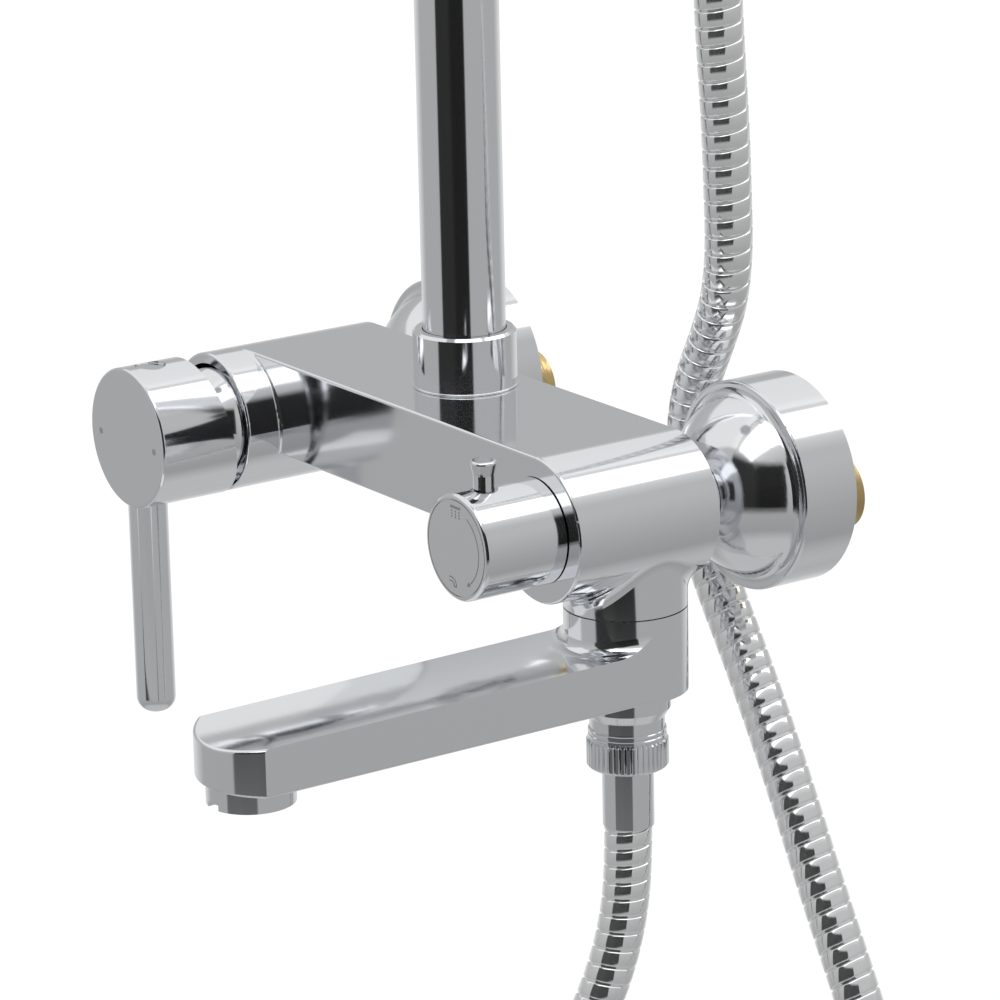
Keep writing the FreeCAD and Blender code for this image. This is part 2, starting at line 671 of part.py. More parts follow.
for side, centre in (("left", -half_spacing), ("right", half_spacing)):
    wall_union("wall_union_" + side, centre)
    wall_flange("wall_flange_" + side, centre)
    union_nut("union_nut_" + side, centre)
    ring("union_washer_" + side, S.inlet_bore, S.union_thread_radius - S.fit_gap,
         union_end, spigot_end, (centre, 0, 0), OUTWARD)
group("union_nuts", ["union_nut_left", "union_nut_right"])
group("union_washers", ["union_washer_left", "union_washer_right"])


# Mixer body
def mixer_body():
    """Cast body: bar, two round ends, neck, inlet spigots and all bores."""
    body = new_body("mixer_body", (0, 0, 0), OUTWARD)
    block(body, "bar", (S.inlet_spacing, S.slab_thickness, S.body_depth),
          (-half_spacing, -slab_bottom, S.body_standoff))
    round_bar(body, "left_end", S.end_radius, S.body_depth + S.nose_length,
              (-half_spacing, 0, S.body_standoff))
    round_bar(body, "right_end", S.end_radius, S.body_depth, (half_spacing, 0, S.body_standoff))
    round_bar(body, "neck", S.neck_radius, S.neck_drop, (half_spacing, 0, S.spout_reach), "-y")
    soften(body, "neck_fillet", S.neck_round, is_neck_edge)
    soften(body, "front_edges", S.edge_round, is_front_edge)
    for side, centre in (("left", -half_spacing), ("right", half_spacing)):
        round_bar(body, side + "_spigot", S.inlet_spigot_radius, S.body_standoff - spigot_end,
                  (centre, 0, spigot_end))
        round_bar(body, side + "_lip", S.inlet_lip_radius, S.inlet_lip, (centre, 0, spigot_end))
        bore(body, side + "_inlet", S.inlet_bore, cartridge_seat - spigot_end,
             (centre, 0, spigot_end))
    bore(body, "cartridge_bore", S.cartridge_bore, nose_front - cartridge_seat,
         (-half_spacing, 0, cartridge_seat))
    bore(body, "diverter_bore", S.diverter_bore, body_front - diverter_seat,
         (half_spacing, 0, diverter_seat))
    bore(body, "spout_bore", S.sleeve_radius - S.fit_gap, S.neck_drop,
         (half_spacing, 0, S.spout_reach), "-y")
    bore(body, "riser_socket", riser_socket, S.end_radius - S.riser_seat,
         (0, S.riser_seat, S.riser_reach), "y")
    bore(body, "riser_channel", tube_bore - S.riser_wall, S.riser_seat - S.channel_height,
         (0, S.channel_height, S.riser_reach), "y")
    bore(body, "cross_channel", S.channel_radius, S.inlet_spacing,
         (-half_spacing, S.channel_height, S.riser_reach), "x")


def is_neck_edge(edge):
    """The seam of the neck with the round end: it rises and falls and lies off the ends."""
    box = edge.BoundBox
    touches_neck = abs(box.XMin - (half_spacing - S.neck_radius).value) < 1.0
    return touches_neck and box.YLength > 1.0 and box.ZLength > S.neck_radius.value


def is_front_edge(edge):
    """The outer edges of the body's front faces."""
    box = edge.BoundBox
    near = 0.01
    return box.ZLength < near and (abs(box.ZMin - body_front.value) < near
                                   or abs(box.ZMin - nose_front.value) < near)


mixer_body()


# Cartridge in the left end, its driver and the lever
def cartridge():
    """Cartridge, clamping ring, ball-shaped trim, driver, stem and pivot pin."""
    top = cartridge_top
    radius = S.cartridge_bore - S.fit_gap
    turned("ceramic_cartridge",
           [(0, cartridge_seat), (radius, cartridge_seat), (radius, top),
            (S.cartridge_cavity, top), (S.cartridge_cavity, driver_seat), (0, driver_seat)],
           lever_at, OUTWARD)
    nut_top = top + S.cartridge_nut
    ring("cartridge_ring_nut", S.cartridge_nut_bore, radius, top, nut_top, lever_at, OUTWARD)
    inner = S.dome_radius - S.dome_wall
    outer_rise = math.sqrt(S.dome_radius.value ** 2 - S.dome_mouth.value ** 2)
    inner_rise = math.sqrt(inner.value ** 2 - S.dome_mouth.value ** 2)
    turned("cartridge_dome",
           [(inner, nut_top), (S.dome_radius, nut_top), (S.dome_radius, pivot_reach),
            (S.dome_mouth, Loose(pivot_reach.value + outer_rise)),
            (S.dome_mouth, Loose(pivot_reach.value + inner_rise)), (inner, pivot_reach)],
           lever_at, OUTWARD, {2: (0, pivot_reach), 4: (0, pivot_reach)})
    driver_radius = S.cartridge_cavity - S.run_gap
    driver_foot = driver_seat + S.run_gap
    driver = new_body("cartridge_driver", lever_at, OUTWARD)
    round_bar(driver, "driver_drum", driver_radius, S.driver_length, (0, 0, driver_foot))
    slot_foot = pivot_reach - S.stem_tail - S.stem_width / 4
    slot_width = S.stem_width + S.run_gap * 2
    block(driver, "driver_slot", (slot_width, S.cartridge_cavity * 2, S.driver_length),
          (-slot_width / 2, -S.cartridge_cavity, slot_foot), cut=True)
    bore(driver, "driver_pin_hole", S.pivot_pin_radius, driver_radius * 2,
         (-driver_radius, 0, pivot_reach), "x")
    pin = new_body("pivot_pin", lever_at, OUTWARD)
    pin_length = driver_radius * 2 - S.overcut
    round_bar(pin, "pivot_pin_bar", S.pivot_pin_radius - S.close_gap, pin_length,
              (-pin_length / 2, 0, pivot_reach), "x")
    stem = new_body("cartridge_stem", lever_at, OUTWARD)
    stem_foot = pivot_reach - S.stem_tail
    block(stem, "stem_bar", (S.stem_width, S.stem_width, stem_reach - stem_foot),
          (-S.stem_width / 2, -S.stem_width / 2, stem_foot))
    bore(stem, "stem_pin_hole", S.pivot_pin_radius, S.stem_width * 2,
         (-S.stem_width, 0, pivot_reach), "x")


cartridge()


def lever():
    """Lever cap with its slanted rear edge, rod, clamping screw and index plug."""
    rear = nose_front + S.cap_gap
    inner = S.cap_radius - S.cap_wall
    cap = turned("lever_cap",
                 [(0, cap_floor), (inner, cap_floor), (inner, rear), (S.cap_radius, rear),
                  (S.cap_radius, cap_face), (0, cap_face)], lever_at, OUTWARD)
    soften(cap, "cap_edge", S.edge_round, rim(S.cap_radius, cap_face))
    wedge = new_sketch(cap, "cap_wedge", "YZ_Plane")
    reach = S.cap_radius + S.overcut
    draw_outline(wedge, [(-reach, rear), (reach, rear - S.overcut), (reach, rear + S.cap_slant)])
    cut = cap.newObject("PartDesign::Pocket", "cap_slant_cut")
    cut.Profile = wedge
    cut.Midplane = True
    bind(cut, "Length", reach * 2)
    socket = S.stem_width + S.fit_gap
    block(cap, "stem_socket", (socket, socket, stem_reach + S.fit_gap - cap_floor),
          (-socket / 2, -socket / 2, cap_floor), cut=True)
    bore(cap, "rod_socket", S.rod_radius + S.close_gap, S.cap_radius, (0, -S.rod_root, rod_reach), "-y")
    bore(cap, "screw_hole", S.screw_radius + S.close_gap * 2, S.cap_radius, (0, 0, plug_reach), "y")
    bore(cap, "plug_hole", S.plug_radius + S.close_gap * 2, S.cap_radius, (0, S.plug_seat, plug_reach), "y")
    rod = turned("lever_rod",
                 [(0, S.rod_root), (S.rod_radius, S.rod_root), (S.rod_radius, S.rod_tip),
                  (0, S.rod_tip)], (-half_spacing, -rod_reach, 0), DOWNWARD)
    soften(rod, "rod_tip_edge", S.rod_tip_round, rim(S.rod_radius, S.rod_tip))
    stem_top = S.stem_width / 2
    turned("lever_screw",
           [(0, stem_top), (S.screw_radius, stem_top), (S.screw_radius, stem_top + S.screw_length),
            (0, stem_top + S.screw_length)], (-half_spacing, -plug_reach, 0))
    plug = turned("index_plug",
                  [(0, S.plug_seat), (S.plug_radius, S.plug_seat), (S.plug_radius, S.plug_top),
                   (0, S.plug_top)], (-half_spacing, -plug_reach, 0))
    soften(plug, "plug_edge", S.edge_round / 2, rim(S.plug_radius, S.plug_top))


lever()


# Diverter in the right end
def diverter():
    """Diverter cartridge, gland nut, spindle, knob with its pin, plate and screw."""
    nose_bore = S.spindle_radius + S.run_gap
    body_radius = S.diverter_bore - S.fit_gap
    turned("diverter_cartridge",
           [(0, diverter_seat), (body_radius, diverter_seat), (body_radius, body_front),
            (S.diverter_nose, body_front), (S.diverter_nose, diverter_nose_reach),
            (nose_bore, diverter_nose_reach), (nose_bore, spindle_tail - S.run_gap),
            (0, spindle_tail - S.run_gap)], knob_at, OUTWARD)
    nut = new_body("diverter_gland_nut", knob_at, OUTWARD)
    prism = nut.newObject("PartDesign::AdditivePrism", "gland_hexagon")
    prism.Polygon = 6
    place(prism, (0, 0, body_front), UPRIGHT)
    bind(prism, "Circumradius", S.diverter_nut_radius)
    bind(prism, "Height", S.diverter_nut)
    bore(nut, "gland_bore", S.diverter_nose + S.fit_gap, S.diverter_nut, (0, 0, body_front))
    screw_hole = S.knob_screw_radius + S.close_gap
    screw_end = knob_screw_sink - S.knob_screw_length
    turned("diverter_spindle",
           [(0, spindle_tail), (S.spindle_radius, spindle_tail),
            (S.spindle_radius, spindle_reach), (screw_hole, spindle_reach),
            (screw_hole, screw_end), (0, screw_end)], knob_at, OUTWARD)
    rear = body_front + S.run_gap
    inner = S.knob_radius - S.knob_wall
    spindle_hole = S.spindle_radius + S.close_gap
    head_hole = S.knob_screw_head + S.fit_gap
    plate_hole = S.plate_radius + S.fit_gap
    knob = turned("diverter_knob",
                  [(inner, rear), (S.knob_radius, rear), (S.knob_radius, knob_face),
                   (plate_hole, knob_face), (plate_hole, plate_seat), (head_hole, plate_seat),
                   (head_hole, knob_screw_sink), (spindle_hole, knob_screw_sink),
                   (spindle_hole, knob_floor), (inner, knob_floor)], knob_at, OUTWARD)
    soften(knob, "knob_edge", S.knob_round, rim(S.knob_radius, knob_face))
    bore(knob, "pin_hole", S.pin_tail + S.close_gap, S.knob_radius, (0, S.pin_root, pin_reach), "y")
    bore(knob, "pin_spot", S.pin_head, S.knob_radius, (0, S.pin_seat, pin_reach), "y")
    turned("diverter_screw",
           [(0, screw_end), (S.knob_screw_radius, screw_end),
            (S.knob_screw_radius, knob_screw_sink), (S.knob_screw_head, knob_screw_sink),
            (S.knob_screw_head, knob_screw_sink + S.knob_screw_head_length),
            (0, knob_screw_sink + S.knob_screw_head_length)], knob_at, OUTWARD)
    turned("knob_face_plate",
           [(0, plate_seat), (S.plate_radius, plate_seat), (S.plate_radius, knob_face),
            (0, knob_face)], knob_at, OUTWARD)
    pin = turned("knob_pin",
                 [(0, S.pin_root), (S.pin_tail, S.pin_root), (S.pin_tail, S.pin_seat),
                  (S.pin_radius, S.pin_seat), (S.pin_radius, S.pin_neck), (S.pin_head, S.pin_top),
                  (0, S.pin_top)], (half_spacing, -pin_reach, 0))
    soften(pin, "pin_edge", S.edge_round, rim(S.pin_head, S.pin_top))


diverter()


# Spout, its swivel sleeve and its aerator; heights run down from the inlet axes
def spout():
    """Swivel spout: hub, dished bar lofted to the tip, bores."""
    hub_top = S.neck_drop + S.run_gap
    hub_bore = S.sleeve_radius + S.run_gap
    body = new_body("spout", outlet_at, DOWNWARD)
    half = S.spout_half_width
    sections = []
    for name, top, reach in (("spout_rear", S.spout_rear_top, None),
                             ("spout_front", S.spout_tip_top, -S.spout_length)):
        section = new_sketch(body, name, "XZ_Plane", reach)
        bow = (half.value ** 2 + S.spout_dish.value ** 2) / (2 * S.spout_dish.value)
        corners = [(half, top), (-half, top), (-half, S.spout_bottom), (half, S.spout_bottom)]
        centre = (Loose(0.0), Loose(top.value + S.spout_dish.value - bow))
        draw_outline(section, corners, {0: centre})
        index = section.addConstraint(Sketcher.Constraint("Radius", 0, bow))
        dish = S.spout_dish.text
        section.setExpression("Constraints[%d]" % index,
                              "(%s ^ 2 + %s ^ 2) / (2 * %s)" % (half.text, dish, dish))
        sections.append(section)
    loft = body.newObject("PartDesign::AdditiveLoft", "spout_bar")
    loft.Profile = sections[0]
    loft.Sections = [sections[1]]
    loft.Ruled = True
    tip = new_sketch(body, "spout_tip_outline", "XY_Plane")
    margin = half + S.overcut
    beyond = S.spout_length + S.overcut
    drop = math.sqrt(S.spout_tip_radius.value ** 2 - margin.value ** 2)
    centre_reach = S.spout_length - S.spout_tip_radius
    flank = Loose(centre_reach.value + drop)
    draw_outline(tip, [(margin, flank), (margin, beyond), (-margin, beyond), (-margin, flank)],
                 {3: (0, centre_reach)})
    index = tip.addConstraint(Sketcher.Constraint("Radius", 3, S.spout_tip_radius.value))
    tip.setExpression("Constraints[%d]" % index, S.spout_tip_radius.text)
    cut = body.newObject("PartDesign::Pocket", "spout_tip_cut")
    cut.Profile = tip
    cut.Midplane = True
    bind(cut, "Length", S.spout_bottom * 3)
    round_bar(body, "spout_hub", S.neck_radius, S.spout_bottom - hub_top, (0, 0, hub_top))
    soften(body, "hub_fillet", S.hub_round, is_hub_edge)
    soften(body, "spout_edges", S.edge_round, is_spout_edge)
    bore(body, "hub_bore", hub_bore, S.spout_bottom, (0, 0, 0))
    bore(body, "slip_recess", S.slip_ring_radius + S.run_gap, S.slip_ring, (0, 0, hub_top))
    aerator_top = S.spout_bottom - S.aerator_depth - S.aerator_washer
    bore(body, "aerator_bore", S.aerator_thread + S.fit_gap, S.spout_bottom,
         (0, S.aerator_reach, aerator_top))
    bore(body, "spout_channel", S.spout_channel, S.aerator_reach,
         (0, 0, S.spout_bottom - S.aerator_depth), "y")


def is_spout_edge(edge):
    """The edges of the tip and the long edges of the underside."""
    box = edge.BoundBox
    rise = S.spout_bottom.value - S.spout_tip_top.value
    at_tip = box.YMin > S.aerator_reach.value and box.ZLength < rise / 2
    below = box.ZMin > S.spout_bottom.value - S.fit_gap.value and box.YMax > S.neck_radius.value * 2
    return at_tip or below


def is_hub_edge(edge):
    """The seam of the hub with the dished top."""
    box = edge.BoundBox
    slack = S.overcut.value
    on_top = box.ZMin > S.spout_rear_top.value - slack and box.ZMax < S.spout_tip_top.value + slack
    return on_top and box.YMax < S.neck_radius.value + slack and box.XLength > S.neck_radius.value


spout()


def spout_swivel():
    """Fixed sleeve that carries the spout and the hose, with its seals and slip ring."""
    root = S.sleeve_radius - S.fit_gap * 2
    groove = S.sleeve_radius - S.seal_section * 2
    seat = S.spout_bottom + S.run_gap
    corners = [(S.sleeve_bore, S.sleeve_root), (root, S.sleeve_root), (root, S.neck_drop),
               (S.sleeve_radius, S.neck_drop)]
    for height in (S.upper_seal, S.lower_seal):
        low = height - S.seal_section - S.fit_gap
        high = height + S.seal_section + S.fit_gap
        corners += [(S.sleeve_radius, low), (groove, low), (groove, high), (S.sleeve_radius, high)]
    corners += [(S.sleeve_radius, seat), (S.shoulder_radius, seat),
                (S.shoulder_radius, S.shoulder_drop), (S.outlet_thread_radius, S.shoulder_end),
                (S.outlet_thread_radius, S.outlet_end), (S.sleeve_bore, S.outlet_end)]
    turned("outlet_sleeve", corners, outlet_at, DOWNWARD)
    for name, height in (("spout_seal_upper", S.upper_seal), ("spout_seal_lower", S.lower_seal)):
        seal = doc.addObject("Part::Torus", name)
        seal.Label = name
        place(seal, (outlet_at[0], outlet_at[1], -height), UPRIGHT)
        bind(seal, "Radius1", groove + S.seal_section + S.fit_gap / 2)
        bind(seal, "Radius2", S.seal_section - S.fit_gap / 4)
        parts[name] = seal
    ring("spout_slip_ring", S.sleeve_radius + S.fit_gap, S.slip_ring_radius, S.neck_drop,
         S.neck_drop + S.slip_ring, outlet_at, DOWNWARD)


spout_swivel()
group("spout_seals", ["spout_seal_upper", "spout_seal_lower"])


def aerator():
    """Aerator housing with its wrench slots, jet insert and washer."""
    at = (half_spacing, -S.spout_reach - S.aerator_reach, 0)
    top = S.spout_bottom - S.aerator_depth
    bottom = S.spout_bottom + S.aerator_drop
    housing = turned("aerator_housing",
                     [(S.aerator_bore, top), (S.aerator_thread, top),
                      (S.aerator_thread, S.spout_bottom), (S.aerator_radius, S.spout_bottom),
                      (S.aerator_radius, bottom), (S.aerator_bore, bottom)], at, DOWNWARD)
    block(housing, "wrench_slots", (S.aerator_slot, S.aerator_radius * 4, S.aerator_slot_depth),
          (-S.aerator_slot / 2, -S.aerator_radius * 2, bottom - S.aerator_slot_depth), cut=True)
    insert_radius = S.aerator_bore - S.fit_gap
    insert_bottom = bottom - S.aerator_slot_depth
    insert = turned("aerator_insert",
                    [(0, top), (insert_radius, top), (insert_radius, insert_bottom),
                     (0, insert_bottom)], at, DOWNWARD)
    for number, (radius, count) in enumerate(AERATOR_RINGS):
        jet = bore(insert, "jet_%d" % number, S.aerator_jet, S.spout_bottom, (radius, 0, top))
        repeat(insert, jet, "jets_%d" % number, count)
    ring("aerator_washer", S.aerator_bore - S.aerator_washer, S.aerator_thread, top - S.aerator_washer, top,
         at, DOWNWARD)


aerator()


# Hose ends: the lower one hangs from the outlet, the upper one sits in the holder
def hose_end(suffix, at, rotation, flange_top, tail_length):
    """Washer and tail of one hose end; heights run towards the hose."""
    flange_end = flange_top + S.hose_washer + S.hose_flange_thickness
    tail_top = flange_top + S.hose_washer
    ring("hose_washer_" + suffix, S.sleeve_bore, S.hose_flange, flange_top, tail_top, at, rotation)
    turned("hose_tail_" + suffix,
           [(S.tail_bore, tail_top), (S.hose_flange, tail_top), (S.hose_flange, flange_end),
            (S.tail_radius, flange_end), (S.tail_radius, tail_top + tail_length),
            (S.tail_bore, tail_top + tail_length)], at, rotation)


def ferrule(suffix, at, rotation, top):
    """Ferrule that is pressed over the hose."""
    seat = top + S.ferrule_web
    end = top + S.ferrule_length
    body = turned("hose_ferrule_" + suffix,
                  [(S.tail_radius + S.fit_gap / 2, top), (S.ferrule_radius, top),
                   (S.ferrule_radius, end), (S.hose_radius + S.fit_gap / 2, end),
                   (S.hose_radius + S.fit_gap / 2, seat), (S.tail_radius + S.fit_gap / 2, seat)],
                  at, rotation)
    soften(body, "ferrule_edge_" + suffix, S.fit_gap, rim(S.ferrule_radius, end))


def lower_hose_end():
    """Grip nut at the outlet, with what it clamps."""
    hose_end("lower", outlet_at, DOWNWARD, S.outlet_end, S.lower_tail_length)
    web = S.outlet_end + S.hose_washer + S.hose_flange_thickness + S.fit_gap
    thread = S.outlet_thread_radius + S.fit_gap
    band = S.hose_nut_top + S.hose_nut_band
    nut = turned("hose_nut_lower",
                 [(thread, S.hose_nut_top), (S.hose_nut_radius - S.hose_nut_taper, S.hose_nut_top),
                  (S.hose_nut_radius, band), (S.hose_nut_radius, S.hose_nut_end),
                  (S.tail_radius + S.fit_gap, S.hose_nut_end), (S.tail_radius + S.fit_gap, web),
                  (thread, web)], outlet_at, DOWNWARD)
    soften(nut, "hose_nut_edge", S.edge_round, rim(S.hose_nut_radius, S.hose_nut_end))
    ferrule("lower", outlet_at, DOWNWARD, S.hose_nut_end)


lower_hose_end()


# Riser, arm and wall bracket
def riser():
    """Collar, seal, two tubes and the coupling between them."""
    top = S.end_radius + S.collar_height
    seal_room = S.riser_radius + S.collar_seal * 2 + S.fit_gap * 2
    seal_top = S.end_radius + S.collar_seal * 2 + S.fit_gap
    collar = turned("riser_collar",
                    [(seal_room, S.end_radius), (S.collar_radius, S.end_radius),
                     (S.collar_radius, top), (riser_socket, top), (riser_socket, seal_top),
                     (seal_room, seal_top)], riser_at)
    soften(collar, "collar_edge", S.collar_chamfer, rim(S.collar_radius, top), "PartDesign::Chamfer")
    seal = doc.addObject("Part::Torus", "riser_seal")
    seal.Label = "riser_seal"
    place(seal, (0, -S.riser_reach, S.end_radius + S.collar_seal), UPRIGHT)
    bind(seal, "Radius1", S.riser_radius + S.fit_gap / 2 + S.collar_seal)
    bind(seal, "Radius2", S.collar_seal)
    parts["riser_seal"] = seal
    ring("riser_tube", tube_bore, S.riser_radius, S.riser_seat, coupling_height, riser_at)
    half = S.coupling_length / 2
    coupling = ring("riser_coupling", riser_socket, S.coupling_radius, coupling_height - half,
                    coupling_height + half, riser_at)
    for end in (coupling_height - half, coupling_height + half):
        soften(coupling, "coupling_edge_%d" % end.value, S.edge_round, rim(S.coupling_radius, end))


riser()


def arm():
    """Upper riser tube that bends forward into the arm and down to the overhead shower."""
    body = new_body("arm_tube", (0, -S.riser_reach, coupling_height))
    rise = arm_height - coupling_height
    drop_end = rise - S.arm_drop_bend - S.arm_drop
    path = new_sketch(body, "arm_path", "YZ_Plane")
    bend_foot = rise - S.arm_bend
    drop_start = S.arm_length - S.arm_drop_bend
    drop_foot = rise - S.arm_drop_bend
    spots = [(0, 0), (0, bend_foot), (-S.arm_bend, Loose(rise.value)), (-drop_start, rise),
             (Loose(-S.arm_length.value), drop_foot), (-S.arm_length, drop_end)]
    centres = {1: (-S.arm_bend, bend_foot), 3: (-drop_start, drop_foot)}
    draw_outline(path, spots, centres, closed=False)
    section = new_sketch(body, "arm_section", "XY_Plane")
    for number, radius in enumerate((S.riser_radius, tube_bore)):
        section.addGeometry(Part.Circle(Vector(), Vector(0, 0, 1), radius.value), False)
        section.addConstraint(Sketcher.Constraint("Coincident", number, 3, -1, 1))
        index = section.addConstraint(Sketcher.Constraint("Radius", number, radius.value))
        section.setExpression("Constraints[%d]" % index, radius.text)
    pipe = body.newObject("PartDesign::AdditivePipe", "arm_pipe")
    pipe.Profile = section
    pipe.Spine = (path, [])


arm()


def bracket():
    """Wall bracket: ring round the riser with its post, rose, wall plate and screws."""
    at = (0, 0, bracket_height)
    clamp = new_body("bracket_clamp", at, UPRIGHT)
    round_bar(clamp, "clamp_ring", S.clamp_radius, S.clamp_height,
              (0, -S.riser_reach, -S.clamp_height / 2))
    round_bar(clamp, "clamp_post", S.post_radius, S.riser_reach - S.wall_plate,
              (0, -S.riser_reach, 0), "y")
    bore(clamp, "clamp_bore", riser_socket, S.clamp_height,
         (0, -S.riser_reach, -S.clamp_height / 2))
    for height in (S.clamp_height / 2, -S.clamp_height / 2):
        soften(clamp, "clamp_edge_%d" % height.value, S.edge_round, rim(S.clamp_radius, height))
    plate = new_body("bracket_wall_plate", at, OUTWARD)
    round_bar(plate, "plate_disc", S.wall_plate_radius, S.wall_plate, (0, 0, 0))
    shank_foot = S.wall_screw_length - S.wall_plate - S.wall_screw_shank
    for name, across in (("left", -S.wall_screw_spacing / 2), ("right", S.wall_screw_spacing / 2)):
        bore(plate, "screw_hole_" + name, S.wall_screw_radius + S.fit_gap, S.wall_plate,
             (across, 0, 0))
        turned("bracket_screw_" + name,
               [(0, 0), (S.wall_screw_radius, 0), (S.wall_screw_radius, shank_foot),
                (S.wall_screw_shank, shank_foot), (S.wall_screw_shank, S.wall_screw_length),
                (S.wall_screw_head, S.wall_screw_length),
                (S.wall_screw_head, S.wall_screw_length + S.wall_screw_radius),
                (0, S.wall_screw_length + S.wall_screw_radius)],
               (across, S.wall_screw_length - S.wall_plate, bracket_height), OUTWARD)
    inner = S.rose_radius - S.rose_wall
    face = S.rose_depth - S.rose_wall
    rose = turned("bracket_rose",
                  [(inner, 0), (S.rose_radius, 0), (S.rose_radius, S.rose_depth),
                   (S.post_radius + S.fit_gap, S.rose_depth), (S.post_radius + S.fit_gap, face),
                   (inner, face)], at, OUTWARD)
    soften(rose, "rose_edge", S.rose_wall, rim(S.rose_radius, S.rose_depth))


bracket()
group("bracket_screws", ["bracket_screw_left", "bracket_screw_right"])


# Overhead shower; heights run down from the centre of its ball
def overhead():
    """Ball fitting of the arm, then nut, shell and spray plate of the overhead shower."""
    arm_end = arm_height - S.arm_drop_bend - S.arm_drop
    ball_height = arm_end - S.ball_drop
    at = (0, -S.riser_reach - S.arm_length, ball_height)
    plug = tube_bore - S.fit_gap
    plug_top = -S.ball_drop - S.arm_drop
    neck_top = -S.ball_radius - S.ball_neck
    ball_neck_rise = math.sqrt(S.ball_radius.value ** 2 - S.ball_neck.value ** 2)
    turned("arm_ball",
           [(0, plug_top), (plug, plug_top), (plug, -S.ball_drop), (S.riser_radius, -S.ball_drop),
            (S.riser_radius, neck_top), (S.ball_neck, neck_top),
            (S.ball_neck, Loose(-ball_neck_rise)), (0, S.ball_radius)],
           at, DOWNWARD, {6: (0, 0)})
    cup = S.ball_radius + S.run_gap
    cup_rise = math.sqrt(cup.value ** 2 - S.ball_nut_rise.value ** 2)
    nut_foot = S.ball_nut_drop
    nut = turned("ball_nut",
                 [(Loose(cup_rise), -S.ball_nut_rise), (S.ball_nut_radius, -S.ball_nut_rise),
                  (S.ball_nut_radius, nut_foot), (cup, nut_foot), (cup, 0)],
                 at, DOWNWARD, {4: (0, 0)})
    soften(nut, "ball_nut_edge", S.edge_round, rim(S.ball_nut_radius, -S.ball_nut_rise))
    hub = S.ball_nut_radius - S.head_wall
    back_edge = S.head_hub_drop + S.head_slope
    rim_foot = back_edge + S.head_rim
    inner = S.head_radius - S.head_wall
    ledge = inner - S.head_wall
    plate_top = rim_foot - S.head_plate
    shell = turned("overhead_shell",
                   [(0, nut_foot), (hub, nut_foot), (hub, S.head_hub_drop), (S.head_radius, back_edge),
                    (S.head_radius, rim_foot), (inner, rim_foot), (inner, plate_top),
                    (ledge, plate_top), (ledge, back_edge + S.head_wall),
                    (hub, S.head_hub_drop + S.head_wall), (0, S.head_hub_drop + S.head_wall)],
                   at, DOWNWARD)
    soften(shell, "shell_foot", S.hub_round, rim(hub, S.head_hub_drop))
    soften(shell, "shell_edge", S.head_wall, rim(S.head_radius, back_edge))
    plate_radius = inner - S.fit_gap
    plate = turned("overhead_spray_plate",
                   [(0, plate_top), (plate_radius, plate_top), (plate_radius, rim_foot),
                    (0, rim_foot)], at, DOWNWARD)
    for number, (radius, count) in enumerate(OVERHEAD_RINGS):
        nozzle = round_bar(plate, "nozzle_%d" % number, S.nozzle_radius,
                           S.nozzle_length + S.head_plate / 2, (radius, 0, rim_foot - S.head_plate / 2))
        repeat(plate, nozzle, "nozzles_%d" % number, count)


overhead()


# Slider and hand shower
slider_at = (0, -S.riser_reach, S.slider_height)
holder_at = (S.holder_offset, -S.riser_reach, S.slider_height)


def slider():
    """Slider with its bush, lock knob and screw, and the holder on its stub."""
    half = S.slider_length / 2
    bush_outer = riser_socket + S.run_gap + S.bush_wall
    stub_bore = S.holder_stub + S.fit_gap
    body = new_body("slider_body", slider_at)
    round_bar(body, "slider_barrel", S.slider_radius, S.slider_length, (0, 0, -half))
    for end in (half, -half):
        soften(body, "slider_edge_%d" % end.value, S.edge_round * 2, rim(S.slider_radius, end))
    round_bar(body, "holder_boss", S.slider_boss, S.slider_boss_end, (0, 0, 0), "x")
    round_bar(body, "lock_boss", S.lock_boss, S.lock_boss_end, (0, 0, 0), "-x")
    bore(body, "bush_bore", bush_outer + S.fit_gap, S.slider_length, (0, 0, -half))
    bore(body, "stub_bore", stub_bore, S.slider_boss_end, (S.holder_stub_root - S.fit_gap, 0, 0), "x")
    bore(body, "lock_bore", S.lock_screw_radius + S.run_gap, S.lock_boss_end, (0, 0, 0), "-x")
    bush = ring("slider_bush", riser_socket + S.run_gap - S.fit_gap, bush_outer, -half, half, slider_at)
    bore(bush, "bush_window", S.lock_screw_radius + S.run_gap, S.lock_boss_end, (0, 0, 0), "-x")
    screw_tip = riser_socket + S.run_gap
    knob_foot = S.lock_boss_end + S.run_gap
    knob = new_body("slider_lock_knob", slider_at)
    round_bar(knob, "lock_grip", S.lock_knob_radius, S.lock_knob_length, (-knob_foot, 0, 0), "-x")
    soften(knob, "lock_edge", S.edge_round * 2, is_outer_lock_edge)
    bore(knob, "lock_thread", S.lock_screw_radius, S.lock_knob_length / 2, (-knob_foot, 0, 0), "-x")
    screw = new_body("slider_lock_screw", slider_at)
    round_bar(screw, "lock_shank", S.lock_screw_radius - S.close_gap,
              knob_foot - screw_tip + S.lock_knob_length / 2, (-screw_tip, 0, 0), "-x")


def is_outer_lock_edge(edge):
    """The rim of the lock knob's free end."""
    end = -(S.lock_boss_end + S.run_gap + S.lock_knob_length).value
    return abs(edge.BoundBox.XMax - end) < 0.01


slider()


def nut_radius_at(height):
    """Radius of the conical nut at a height above the holder's middle."""
    rise = S.cone_nut_high - S.cone_nut_low
    share = (height.value + S.cone_nut_drop.value) / S.cone_nut_length.value
    return S.cone_nut_low + rise * share


